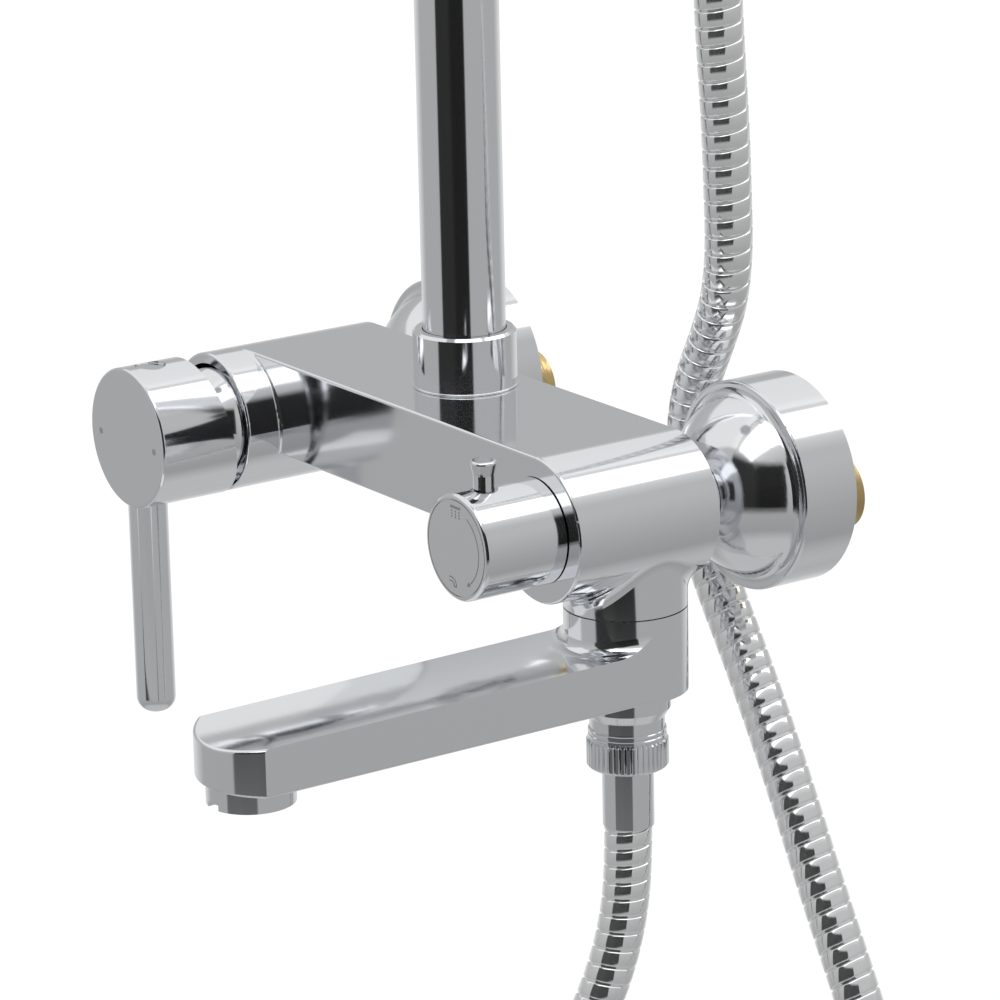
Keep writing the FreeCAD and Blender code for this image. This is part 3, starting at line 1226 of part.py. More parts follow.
def holder():
    """Conical holder with its hose slot and the stub that sits in the slider."""
    half = S.holder_length / 2
    low = nut_radius_at(-half) + S.fit_gap
    high = nut_radius_at(half) + S.fit_gap
    body = turned("hand_shower_holder",
                  [(low, -half), (S.holder_radius, -half), (S.holder_radius, half), (high, half)],
                  holder_at, LEANING)
    soften(body, "holder_low_edge", S.edge_round, rim(S.holder_radius, -half))
    soften(body, "holder_high_edge", S.edge_round, rim(S.holder_radius, half))
    stub_length = S.holder_offset - S.holder_stub_root - S.holder_radius + S.overcut
    round_bar(body, "stub", S.holder_stub, stub_length,
              (-(S.holder_radius - S.overcut), 0, 0), "-x")
    block(body, "hose_slot", (S.holder_slot, S.holder_radius * 2, S.holder_length),
          (-S.holder_slot / 2, -S.holder_radius * 2, -half), cut=True)


holder()


def upper_hose_end():
    """Conical nut in the holder, with what it clamps; heights run down the handle."""
    top = S.cone_nut_length - S.cone_nut_drop
    seat = top - S.handle_thread_length - S.hose_washer - S.hose_flange_thickness - S.fit_gap
    cavity = S.hose_flange + S.fit_gap
    tail_hole = S.tail_radius + S.fit_gap
    turned("cone_nut",
           [(tail_hole, -S.cone_nut_drop), (S.cone_nut_low, -S.cone_nut_drop),
            (S.cone_nut_high, top), (cavity, top), (cavity, seat), (tail_hole, seat)],
           holder_at, LEANING)
    upside_down = LEANING.multiply(DOWNWARD)
    washer_top = S.handle_thread_length - top
    hose_end("upper", holder_at, upside_down, washer_top, S.upper_tail_length)
    ferrule("upper", holder_at, upside_down, S.cone_nut_drop)


upper_hose_end()


def spin_head(body, name, corners, kind):
    """Turn an outline of (depth, radius) corners about the spray head's own axis."""
    sketch = new_sketch(body, name + "_outline", "YZ_Plane", rise=S.hand_head_height)
    draw_outline(sketch, corners)
    feature = body.newObject(kind, name)
    feature.Profile = sketch
    feature.ReferenceAxis = (sketch, ["H_Axis"])
    feature.Angle = 360.0
    return feature


def hand_shower():
    """Hand shower: waisted handle, round spray head and spray plate."""
    nut_top = S.cone_nut_length - S.cone_nut_drop
    thread_foot = nut_top - S.handle_thread_length
    foot = nut_top + S.fit_gap
    handle_top = S.hand_head_height - S.hand_head_shoulder
    shell = turned("hand_shower_shell",
                   [(0, thread_foot), (S.handle_thread, thread_foot), (S.handle_thread, foot),
                    (S.cone_nut_high, foot), (S.handle_waist, S.handle_waist_height),
                    (S.handle_end_radius, handle_top), (0, handle_top)], holder_at, LEANING)
    rim_back = S.hand_head_rim - S.hand_head_front
    spin_head(shell, "head",
              [(-S.hand_head_front, 0), (-S.hand_head_front, S.hand_head_radius),
               (rim_back, S.hand_head_radius), (S.hand_head_shoulder_back, S.hand_head_shoulder),
               (S.hand_head_back, 0)], "PartDesign::Revolution")
    recess = S.hand_plate_radius + S.fit_gap
    seat = S.hand_plate - S.hand_head_front
    chamber = seat + S.hand_chamber
    spin_head(shell, "head_chamber",
              [(-S.hand_head_front, 0), (-S.hand_head_front, recess), (seat, recess),
               (seat, S.hand_chamber_radius), (chamber, S.hand_chamber_radius), (chamber, 0)],
              "PartDesign::Groove")
    bore(shell, "handle_bore", S.handle_bore, S.hand_head_height - thread_foot, (0, 0, thread_foot))
    lean = math.radians(HANDLE_TILT_DEG)
    plate_at = (S.holder_offset, -S.riser_reach - S.hand_head_height * math.sin(lean),
                S.slider_height + S.hand_head_height * math.cos(lean))
    plate = turned("hand_spray_plate",
                   [(0, -seat), (S.hand_plate_radius, -seat),
                    (S.hand_plate_radius, S.hand_head_front), (0, S.hand_head_front)],
                   plate_at, LEANING.multiply(OUTWARD))
    for number, (radius, count) in enumerate(HAND_RINGS):
        nozzle = round_bar(plate, "hand_nozzle_%d" % number, S.nozzle_radius,
                           S.nozzle_length + S.hand_plate / 2,
                           (radius, 0, S.hand_head_front - S.hand_plate / 2))
        repeat(plate, nozzle, "hand_nozzles_%d" % number, count)


hand_shower()


# Shower hose: straight runs joined by tangent arcs, ribbed from end to end
def hose_route():
    """All points of the route, with the straight ends inside both ferrules."""
    outlet = Vector(half_spacing.value, -S.spout_reach.value, 0)
    lower = S.hose_nut_end.value + S.ferrule_web.value
    holder_middle = Vector(*[size.value for size in holder_at])
    down = LEANING.multVec(Vector(0, 0, -1))
    upper = S.cone_nut_drop.value + S.ferrule_web.value
    first = [outlet - Vector(0, 0, lower), outlet - Vector(0, 0, lower + HOSE_END_RUN)]
    last = [holder_middle + down * (upper + HOSE_END_RUN), holder_middle + down * upper]
    return first + [hose_point(*point) for point in HOSE_POINTS] + last


def hose_point(x, y, z):
    """A free point of the route, moved with the inlets, the flange and the slider."""
    if z < ROUTE_FLANGE_SPAN:
        x += half_spacing.value - ROUTE_HALF_SPACING
    if abs(z) < ROUTE_FLANGE_SPAN:
        x += ROUTE_FLANGE_RADIUS - flange_radius.value
    if z > 0:
        z *= S.slider_height.value / ROUTE_SLIDER_HEIGHT
    return Vector(x, y, z)


def hose_path(points):
    """Return the route as (length, radius, start, start direction, turn axis) pieces."""
    pieces = []
    start = points[0]
    radii = []
    for before, corner, after in zip(points, points[1:], points[2:]):
        ahead = (corner - before).normalize()
        onward = (after - corner).normalize()
        turn = ahead.getAngle(onward)
        trim = BEND_SHARE * min((corner - before).Length, (after - corner).Length)
        radius = trim / math.tan(turn / 2)
        radii.append(radius)
        entry = corner - ahead * trim
        pieces.append(((entry - start).Length, None, start, ahead, None))
        pieces.append((radius * turn, radius, entry, ahead, ahead.cross(onward).normalize()))
        start = corner + onward * trim
    final = points[-1] - start
    pieces.append((final.Length, None, start, Vector(final).normalize(), None))
    return pieces, radii


def on_path(pieces, distance):
    """Return the point and the direction at a distance along the route."""
    for length, radius, start, ahead, axis in pieces:
        if distance <= length or (length, start) == (pieces[-1][0], pieces[-1][2]):
            break
        distance -= length
    if radius is None:
        return start + ahead * distance, ahead
    centre = start + axis.cross(ahead) * radius
    turn = FreeCAD.Rotation(axis, math.degrees(distance / radius))
    return centre + turn.multVec(start - centre), turn.multVec(ahead)


def hose_circle(spot, direction, radius):
    """A circle square to the hose, with its seam on a steady side."""
    side = HOSE_SIDE - direction * HOSE_SIDE.dot(direction)
    circle = Part.Circle(spot, direction, radius)
    circle.XAxis = side.normalize()
    return Part.Wire([circle.toShape()])


def shower_hose():
    """Ribbed tube along the route: four circles make each rib and its groove."""
    pieces, radii = hose_path(hose_route())
    length = sum(piece[0] for piece in pieces)
    crest = S.hose_radius.value
    groove = crest - S.hose_groove.value
    plain = 2 * crest
    pitch = (length - 2 * plain) / HOSE_RIBS
    rings = [(0.0, crest), (plain, crest)]
    for rib in range(HOSE_RIBS):
        foot = plain + rib * pitch
        for share, radius in zip(RIB_SHARES, (groove, groove, crest, crest)):
            rings.append((foot + share * pitch, radius))
    rings.append((length, crest))
    outer = Part.makeLoft([hose_circle(*on_path(pieces, at), radius) for at, radius in rings], True, True)
    spine = []
    for piece_length, radius, start, ahead, axis in pieces:
        stop, _ = on_path([(piece_length, radius, start, ahead, axis)], piece_length)
        if radius is None:
            spine.append(Part.LineSegment(start, stop).toShape())
        else:
            middle, _ = on_path([(piece_length, radius, start, ahead, axis)], piece_length / 2)
            spine.append(Part.Arc(start, middle, stop).toShape())
    section = hose_circle(*on_path(pieces, 0.0), S.hose_bore.value)
    bore_solid = Part.Wire(spine).makePipeShell([section], True, False)
    hose = doc.addObject("Part::Feature", "shower_hose")
    hose.Label = "shower_hose"
    hose.Shape = outer.cut(bore_solid).Solids[0]
    hose.Placement = FreeCAD.Placement()
    parts["shower_hose"] = hose
    band = math.pi * (crest ** 2 - S.hose_bore.value ** 2) * length
    print("hose length %.1f mm, rib pitch %.2f mm" % (length, pitch))
    print("hose volume over plain tube volume %.3f" % (hose.Shape.Volume / band))
    print("hose bend radii", [round(radius) for radius in radii])


shower_hose()


def write_parts():
    """Check every object and every piece, then write one file for each piece."""
    doc.recompute()
    failed = [item.Name for item in doc.Objects if {"Invalid", "Error"} & set(item.State)]
    for label, item in parts.items():
        shape = item.Shape
        pieces = len(item.Links) if item.TypeId == "Part::Compound" else 1
        if shape.isNull() or not shape.isValid() or len(shape.Solids) != pieces:
            failed.append(label)
    if failed:
        raise RuntimeError("not sound: %s" % ", ".join(failed))
    os.makedirs("parts", exist_ok=True)
    for label, item in parts.items():
        item.Shape.exportStep("parts/%s.step" % label)
    print("%d pieces written" % len(parts))


write_parts()
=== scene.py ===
import math

import bmesh
import bpy
import numpy as np
from bpy.props import FloatProperty, FloatVectorProperty, IntProperty, PointerProperty
from mathutils import Matrix, Vector


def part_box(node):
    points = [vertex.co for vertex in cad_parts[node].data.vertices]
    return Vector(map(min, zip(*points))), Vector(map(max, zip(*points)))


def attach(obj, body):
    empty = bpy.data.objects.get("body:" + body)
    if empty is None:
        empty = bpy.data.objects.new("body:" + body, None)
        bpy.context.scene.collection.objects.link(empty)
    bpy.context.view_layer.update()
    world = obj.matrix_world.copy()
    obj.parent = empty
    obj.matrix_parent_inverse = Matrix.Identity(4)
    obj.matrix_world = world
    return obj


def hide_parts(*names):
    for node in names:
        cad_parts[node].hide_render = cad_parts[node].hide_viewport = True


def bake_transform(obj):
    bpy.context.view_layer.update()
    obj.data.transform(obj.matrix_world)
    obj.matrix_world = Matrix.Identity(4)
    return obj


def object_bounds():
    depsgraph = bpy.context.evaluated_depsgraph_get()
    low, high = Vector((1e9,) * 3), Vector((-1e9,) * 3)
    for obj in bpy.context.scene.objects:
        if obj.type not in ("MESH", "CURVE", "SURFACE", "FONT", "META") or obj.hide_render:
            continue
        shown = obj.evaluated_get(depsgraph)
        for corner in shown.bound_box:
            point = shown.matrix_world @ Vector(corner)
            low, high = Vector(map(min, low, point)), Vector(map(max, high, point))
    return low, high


bl_info = {
    "name": "Shower system looks",
    "version": (1, 0, 0),
    "blender": (4, 5, 0),
    "location": "3D View > Sidebar > Shower",
    "description": "Finishes, hose, grips, seams, threads, marks and studio for a wall-mounted shower system",
    "category": "Object",
}

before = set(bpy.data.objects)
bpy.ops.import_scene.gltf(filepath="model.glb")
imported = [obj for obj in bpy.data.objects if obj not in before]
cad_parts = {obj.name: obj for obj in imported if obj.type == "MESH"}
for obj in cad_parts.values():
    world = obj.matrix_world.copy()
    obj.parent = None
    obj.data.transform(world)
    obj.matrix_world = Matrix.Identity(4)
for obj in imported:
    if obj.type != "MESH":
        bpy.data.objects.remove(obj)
CAD_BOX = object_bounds()
MM = 0.001

# Nodes by finish
CHROME_NODES = (
    "mixer_body", "wall_flange_left", "wall_flange_right", "cartridge_dome", "lever_cap", "lever_rod",
    "diverter_knob", "knob_pin", "knob_face_plate", "spout", "aerator_housing", "outlet_sleeve",
    "hose_ferrule_lower", "hose_ferrule_upper", "cone_nut", "riser_collar", "riser_tube",
    "riser_coupling", "arm_tube", "bracket_clamp", "bracket_rose", "arm_ball", "ball_nut",
    "overhead_shell", "slider_body", "hand_shower_holder", "hand_shower_shell", "index_plug",
)
BRASS_NODES = (
    "wall_union_left", "wall_union_right", "union_nuts", "cartridge_ring_nut", "diverter_cartridge",
    "diverter_gland_nut", "hose_tail_lower", "hose_tail_upper",
)
RUBBER_NODES = (
    "union_washers", "spout_seals", "riser_seal", "aerator_washer", "hose_washer_lower",
    "hose_washer_upper",
)
WHITE_NODES = (
    "ceramic_cartridge", "cartridge_driver", "slider_bush", "spout_slip_ring", "aerator_insert",
)
SPRAY_NODES = ("overhead_spray_plate", "hand_spray_plate")
STEEL_NODES = (
    "pivot_pin", "cartridge_stem", "lever_screw", "diverter_screw", "diverter_spindle",
    "slider_lock_screw", "bracket_screws", "bracket_wall_plate",
)

# Route of the hose, in millimetres turned to metres: outlet, loop under the mixer, round the right
# flange, holder
HOSE_ROUTE = np.array([
    (75.0, -57.6, -76.6), (75.0, -57.6, -102.0), (75.0, -60.4, -121.0), (74.2, -66.6, -139.0),
    (71.0, -76.4, -159.0), (63.5, -92.0, -192.0), (56.5, -103.0, -236.0), (53.5, -107.4, -286.0),
    (53.2, -107.8, -336.0), (54.6, -106.4, -384.0), (67.9, -93.9, -419.3), (92.0, -71.2, -438.5),
    (120.0, -44.8, -438.5), (144.1, -22.1, -419.3), (157.4, -9.6, -384.0), (158.6, -8.4, -336.0),
    (157.0, -8.2, -286.0), (150.5, -8.4, -236.0), (139.0, -9.2, -190.0), (121.0, -10.0, -147.0),
    (102.0, -10.0, -115.0), (85.0, -9.2, -86.0), (73.0, -8.2, -68.5), (62.0, -7.8, -52.5),
    (51.0, -7.6, -37.0), (42.6, -7.4, -23.0), (38.0, -7.4, -8.0), (37.6, -7.4, 7.0),
    (41.5, -7.4, 21.5), (49.0, -7.4, 35.0), (55.5, -7.8, 48.0), (58.8, -8.6, 63.0),
    (59.6, -9.6, 79.0), (60.8, -11.0, 98.0), (63.0, -15.0, 134.0), (64.4, -17.6, 190.0),
    (65.2, -19.4, 250.0), (65.8, -20.8, 310.0), (66.2, -22.6, 370.0), (66.4, -26.0, 428.0),
    (66.2, -31.0, 480.0), (66.0, -38.91, 537.0), (66.0, -49.51, 566.13),
]) * MM
# A level direction that no stretch of the hose runs along, from which its rings are turned
HOSE_SIDE = np.array((0.71, -0.70, 0.0))

# One turn of the hose's strip: places along its width, and the height there between the floor of
# the seam and the flat of the strip
STRIP_SHARE = np.array([0.0, 0.05, 0.11, 0.80, 0.86, 0.91])
STRIP_LIFT = np.array([0.0, 0.8, 1.0, 1.0, 0.8, 0.0])
# Points of the hose's line per point of its route, and the distance under which two points are one
HOSE_LINE_STEPS = 24
SAME_POINT = 1e-6

# Creases sharper than these stay sharp, in degrees
PLAIN_CREASE = 35.0
STRIP_CREASE = 50.0
ROUND_CREASE = 60.0

# Bore, neck and web of the hose nut, shank and closed middle of the lock knob, points round a flute,
# and how much a flute's sine is stretched before it is cut off flat
NUT_BORE = 10.68 * MM
NUT_NECK = 4.5 * MM
NUT_WEB = 1.4 * MM
KNOB_SHANK = 3.0 * MM
KNOB_MIDDLE = 0.05 * MM
POINTS_PER_NUT_FLUTE = 6
POINTS_PER_KNOB_FLUTE = 8
FLUTE_FLATTEN = 1.4

# Points round the collar's bead and round its section
BEAD_AROUND = 96
BEAD_SECTION = 12

# Half-inch pipe thread of the wall unions: its sleeve, its ridges, where it starts behind the wall
# face, how far it stops short of the union's end, how far it lies below the inlet axis, and its points
# round a turn and along a pitch
THREAD_RADIUS = 10.5 * MM
THREAD_WALL = 0.8 * MM
THREAD_PITCH = 1.814 * MM
THREAD_DEPTH = 0.4 * MM
THREAD_START = 1.2 * MM
THREAD_SHORT = 0.6 * MM
THREAD_DROP = 8.0 * MM
THREAD_AROUND = 48
THREAD_POINTS = 8

# Marks, in millimetres: widths of a line and of the shower's bar, the arc's reach, how far a mark
# goes into its face and stands proud of it
LINE_WIDTH = 0.35
BAR_WIDTH = 0.75
ARC_REACH = 10.6
MARK_SINK = 0.1
MARK_PROUD = 0.03

# Depth of the relief on a finish, and how much rougher plating is where water has dried
RELIEF = 0.0004
DRIED_ROUGH = 0.06


# Sizes and colours that a user would change
class FinishLook(bpy.types.PropertyGroup):
    """Colours and polish of the finishes."""
    chrome: FloatVectorProperty(
        name="Chrome", description="Colour of the plating", subtype="COLOR", size=4,
        default=(0.86, 0.865, 0.875, 1.0), min=0, max=1)
    chrome_worn: FloatVectorProperty(
        name="Chrome marks", description="Plating where water has dried", subtype="COLOR", size=4,
        default=(0.80, 0.805, 0.81, 1.0), min=0, max=1)
    polish: FloatProperty(
        name="Polish", description="Roughness of clean plating", default=0.015, min=0, max=1)
    brass: FloatVectorProperty(
        name="Brass", description="Colour of machined brass", subtype="COLOR", size=4,
        default=(0.70, 0.52, 0.24, 1.0), min=0, max=1)
    rubber: FloatVectorProperty(
        name="Rubber", description="Colour of the seals", subtype="COLOR", size=4,
        default=(0.03, 0.03, 0.03, 1.0), min=0, max=1)
    white_plastic: FloatVectorProperty(
        name="White plastic", description="Colour of cartridges and bushes", subtype="COLOR", size=4,
        default=(0.78, 0.78, 0.75, 1.0), min=0, max=1)
    spray_plastic: FloatVectorProperty(
        name="Spray plastic", description="Colour of the spray plates", subtype="COLOR", size=4,
        default=(0.33, 0.34, 0.36, 1.0), min=0, max=1)
    steel: FloatVectorProperty(
        name="Steel", description="Colour of plain steel", subtype="COLOR", size=4,
        default=(0.52, 0.53, 0.55, 1.0), min=0, max=1)
    mark: FloatVectorProperty(
        name="Marks", description="Colour of the engraved marks", subtype="COLOR", size=4,
        default=(0.16, 0.16, 0.17, 1.0), min=0, max=1)


class HoseLook(bpy.types.PropertyGroup):
    """Metal strip of the hose."""
    radius: FloatProperty(
        name="Radius", description="Outside of the hose", default=6.7 * MM, unit="LENGTH")
    pitch: FloatProperty(
        name="Pitch", description="Width of one turn of the strip", default=5.0 * MM, unit="LENGTH")
    groove: FloatProperty(
        name="Groove", description="Depth of the seam between turns", default=0.5 * MM, unit="LENGTH")
    around: IntProperty(name="Around", description="Points round the hose", default=32, min=8)


class GripLook(bpy.types.PropertyGroup):
    """Grips of the hose nut and the lock knob, and the bead at the riser collar."""
    nut_flutes: IntProperty(
        name="Nut flutes", description="Flutes round the hose nut", default=44, min=6)
    knob_flutes: IntProperty(
        name="Knob flutes", description="Flutes round the lock knob", default=18, min=6)
    depth: FloatProperty(
        name="Depth", description="Depth of a flute", default=0.55 * MM, unit="LENGTH")
    bead: FloatProperty(
        name="Bead", description="Radius of the bead at the collar", default=0.35 * MM, unit="LENGTH")


class StudioLook(bpy.types.PropertyGroup):
    """Camera, floor and light."""
    lens: FloatProperty(name="Lens", description="Focal length in millimetres", default=178.1)
    floor_drop: FloatProperty(
        name="Floor drop", description="Floor below the object", default=0.02, unit="LENGTH")
    floor: FloatVectorProperty(
        name="Floor", description="Colour of the floor", subtype="COLOR", size=4,
        default=(0.93, 0.93, 0.93, 1.0), min=0, max=1)
    white: FloatProperty(
        name="White", description="Brightness of the plain surroundings", default=1.12, min=0)
    ground: FloatProperty(
        name="Ground", description="Brightness low in the studio", default=0.37, min=0)
    walls: FloatProperty(
        name="Walls", description="Brightness of the studio walls", default=0.55, min=0)
    backdrop: FloatProperty(
        name="Backdrop", description="Brightness behind the object", default=0.3, min=0)
    floor_glow: FloatProperty(
        name="Floor glow", description="Brightness straight below", default=0.2, min=0)
    softbox: FloatProperty(
        name="Softbox", description="Brightness of the key softbox", default=1.0, min=0)
    halo: FloatProperty(
        name="Halo", description="Light on the walls beside the key softbox", default=0.22, min=0)
    fill: FloatProperty(
        name="Fill", description="Brightness of the fill softbox", default=0.36, min=0)
    dark: FloatProperty(
        name="Dark", description="Brightness round the camera", default=0.014, min=0)
    panel: FloatProperty(
        name="Panel", description="Brightness of the panel at the lever", default=0.39, min=0)


LOOKS = (("shower_finish", FinishLook), ("shower_hose_look", HoseLook), ("shower_grip", GripLook),
         ("shower_studio", StudioLook))


# Surfaces as arrays
def grid_faces(rows, columns, wrap_rows, wrap_columns):
    """Quads of a grid: each joins a point with its neighbours in the next row and column."""
    row = np.arange(rows if wrap_rows else rows - 1)[:, None]
    column = np.arange(columns if wrap_columns else columns - 1)[None, :]
    next_row = (row + 1) % rows
    next_column = (column + 1) % columns
    corners = [row * columns + column, row * columns + next_column,
               next_row * columns + next_column, next_row * columns + column]
    shape = (row.size, column.size)
    return np.stack([np.broadcast_to(corner, shape) for corner in corners], -1).reshape(-1, 4)


def mesh_from(name, points, faces):
    """A mesh from an array of points and an array of faces."""
    mesh = bpy.data.meshes.new(name)
    mesh.from_pydata(points.reshape(-1, 3).tolist(), [], faces.tolist())
    mesh.validate()
    mesh.update()
    return mesh


def new_piece(name, mesh, paint, crease_deg=PLAIN_CREASE):
    """An object at the origin with a smooth mesh that keeps its sharp creases."""
    mesh.shade_smooth()
    mesh.set_sharp_from_angle(angle=math.radians(crease_deg))
    mesh.materials.append(paint)
    piece = bpy.data.objects.new(name, mesh)
    bpy.context.scene.collection.objects.link(piece)
    return piece


def turned_grid(profile, angles, added=None):
    """Points of a turned piece: each (radius, height) of the profile swept through the angles.
    What is added changes each radius by angle and profile point."""
    radius = np.broadcast_to(profile[None, :, 0], (angles.size, len(profile)))
    if added is not None:
        radius = radius + added
    x = radius * np.cos(angles)[:, None]
    y = radius * np.sin(angles)[:, None]
    z = np.broadcast_to(profile[None, :, 1], x.shape)
    return np.stack([x, y, z], -1)


def turned_mesh(name, points, origin, axes):
    """A closed turned mesh, moved from its own axes to the row's."""
    placed = points @ np.array(axes) + np.array(origin)
    return mesh_from(name, placed, grid_faces(points.shape[0], points.shape[1], True, True))


# Noise settings of the finishes: scales per metre, the values between which a mask comes in, and
# the stretch along each axis
SPOT_SCALE = 110.0
SPOT_EDGE = (0.16, 0.22)
PATCH_SCALE = 14.0
PATCH_EDGE = (0.54, 0.66)
STREAK_SCALE = 26.0
STREAK_STRETCH = (1.0, 1.0, 0.12)
STREAK_EDGE = (0.5, 0.75)
WAVE_SCALE = 55.0
LINE_SCALE = 420.0
LINE_STRETCH = (0.15, 1.0, 1.0)
GRAIN_SCALE = 900.0
STAIN_SCALE = 40.0
STAIN_EDGE = (0.35, 0.7)


# Shader groups and materials
def value_group(name, inputs, build):
    """A shader group with named number inputs; build adds its nodes and outputs."""
    group = bpy.data.node_groups.new(name, "ShaderNodeTree")
    for label, default in inputs:
        socket = group.interface.new_socket(label, in_out="INPUT", socket_type="NodeSocketFloat")
        socket.default_value = default
    entry = group.nodes.new("NodeGroupInput")
    leave = group.nodes.new("NodeGroupOutput")
    build(group, entry, leave)
    return group


def add_output(group, label, kind):
    """An output socket on a shader group."""
    group.interface.new_socket(label, in_out="OUTPUT", socket_type=kind)


def noise(tree, scale, detail=2.0, stretch=None):
    """A noise texture on Object coordinates, stretched where asked."""
    where = tree.nodes.new("ShaderNodeTexCoord")
    texture = tree.nodes.new("ShaderNodeTexNoise")
    texture.inputs["Scale"].default_value = scale
    texture.inputs["Detail"].default_value = detail
    source = where.outputs["Object"]
    if stretch:
        mapping = tree.nodes.new("ShaderNodeMapping")
        mapping.inputs["Scale"].default_value = stretch
        tree.links.new(source, mapping.inputs["Vector"])
        source = mapping.outputs["Vector"]
    tree.links.new(source, texture.inputs["Vector"])
    return texture


def remap(tree, source, low, high, to_low, to_high):
    """Map a value's range onto another, clamped."""
    node = tree.nodes.new("ShaderNodeMapRange")
    node.clamp = True
    for label, number in (("From Min", low), ("From Max", high), ("To Min", to_low), ("To Max", to_high)):
        node.inputs[label].default_value = number
    tree.links.new(source, node.inputs["Value"])
    return node.outputs["Result"]


def combine(tree, operation, first, second):
    """A math node on two sockets or numbers."""
    node = tree.nodes.new("ShaderNodeMath")
    node.operation = operation
    for socket, item in zip(node.inputs, (first, second)):
        if isinstance(item, (int, float)):
            socket.default_value = item
        else:
            tree.links.new(item, socket)
    return node.outputs[0]


def build_water_marks(group, entry, leave):
    """Dried drops and wiped streaks: a mask from round spots and a stretched noise."""
    add_output(group, "Mask", "NodeSocketFloat")
    add_output(group, "Height", "NodeSocketFloat")
    where = group.nodes.new("ShaderNodeTexCoord")
    spots = group.nodes.new("ShaderNodeTexVoronoi")
    spots.inputs["Scale"].default_value = SPOT_SCALE
    group.links.new(where.outputs["Object"], spots.inputs["Vector"])
    ring = remap(group, spots.outputs["Distance"], *SPOT_EDGE, 1.0, 0.0)
    patch = remap(group, noise(group, PATCH_SCALE).outputs["Fac"], *PATCH_EDGE, 0.0, 1.0)
    drops = combine(group, "MULTIPLY", ring, patch)
    wiped = noise(group, STREAK_SCALE, 3.0, STREAK_STRETCH).outputs["Fac"]
    streak = remap(group, wiped, *STREAK_EDGE, 0.0, 1.0)
    smear = combine(group, "MULTIPLY", streak, entry.outputs["Streaks"])
    wet = combine(group, "MULTIPLY", drops, entry.outputs["Drops"])
    mask = combine(group, "MAXIMUM", wet, smear)
    group.links.new(mask, leave.inputs["Mask"])
    waves = noise(group, WAVE_SCALE, 1.0).outputs["Fac"]
    group.links.new(combine(group, "MULTIPLY", waves, entry.outputs["Waves"]), leave.inputs["Height"])


def build_tool_lines(group, entry, leave):
    """Fine turning lines and cast grain: a stretched noise and a fine noise."""
    add_output(group, "Mask", "NodeSocketFloat")
    add_output(group, "Height", "NodeSocketFloat")
    lines = noise(group, LINE_SCALE, 2.0, LINE_STRETCH).outputs["Fac"]
    grain = noise(group, GRAIN_SCALE, 2.0).outputs["Fac"]
    mixed = combine(group, "ADD", combine(group, "MULTIPLY", lines, entry.outputs["Lines"]),
                    combine(group, "MULTIPLY", grain, entry.outputs["Grain"]))
    group.links.new(mixed, leave.inputs["Height"])
    stain = noise(group, STAIN_SCALE, 3.0).outputs["Fac"]
    group.links.new(remap(group, stain, *STAIN_EDGE, 0.0, 1.0), leave.inputs["Mask"])


def place_group(tree, group, values):
    """Put a shader group into a material with its own values."""
    node = tree.nodes.new("ShaderNodeGroup")
    node.node_tree = group
    for label, number in values.items():
        node.inputs[label].default_value = number
    return node


def finish_material(name, group, values, colours, rough, metallic, bump):
    """A material whose colour and roughness follow a group's mask and whose relief its height."""
    paint = bpy.data.materials.new(name)
    paint.use_nodes = True
    tree = paint.node_tree
    shader = tree.nodes["Principled BSDF"]
    shader.inputs["Metallic"].default_value = metallic
    effect = place_group(tree, group, values)
    mix = tree.nodes.new("ShaderNodeMix")
    mix.data_type = "RGBA"
    mix.inputs["A"].default_value = colours[0]
    mix.inputs["B"].default_value = colours[1]
    tree.links.new(effect.outputs["Mask"], mix.inputs["Factor"])
    tree.links.new(mix.outputs["Result"], shader.inputs["Base Color"])
    tree.links.new(remap(tree, effect.outputs["Mask"], 0.0, 1.0, *rough), shader.inputs["Roughness"])
    relief = tree.nodes.new("ShaderNodeBump")
    relief.inputs["Strength"].default_value = bump
    relief.inputs["Distance"].default_value = RELIEF
    tree.links.new(effect.outputs["Height"], relief.inputs["Height"])
    tree.links.new(relief.outputs["Normal"], shader.inputs["Normal"])
    return paint


def shade(colour, factor):
    """A colour made darker or lighter."""
    return (*[min(1.0, part * factor) for part in colour[:3]], 1.0)


def material(name):
    """A finish by name."""
    return bpy.data.materials[name]


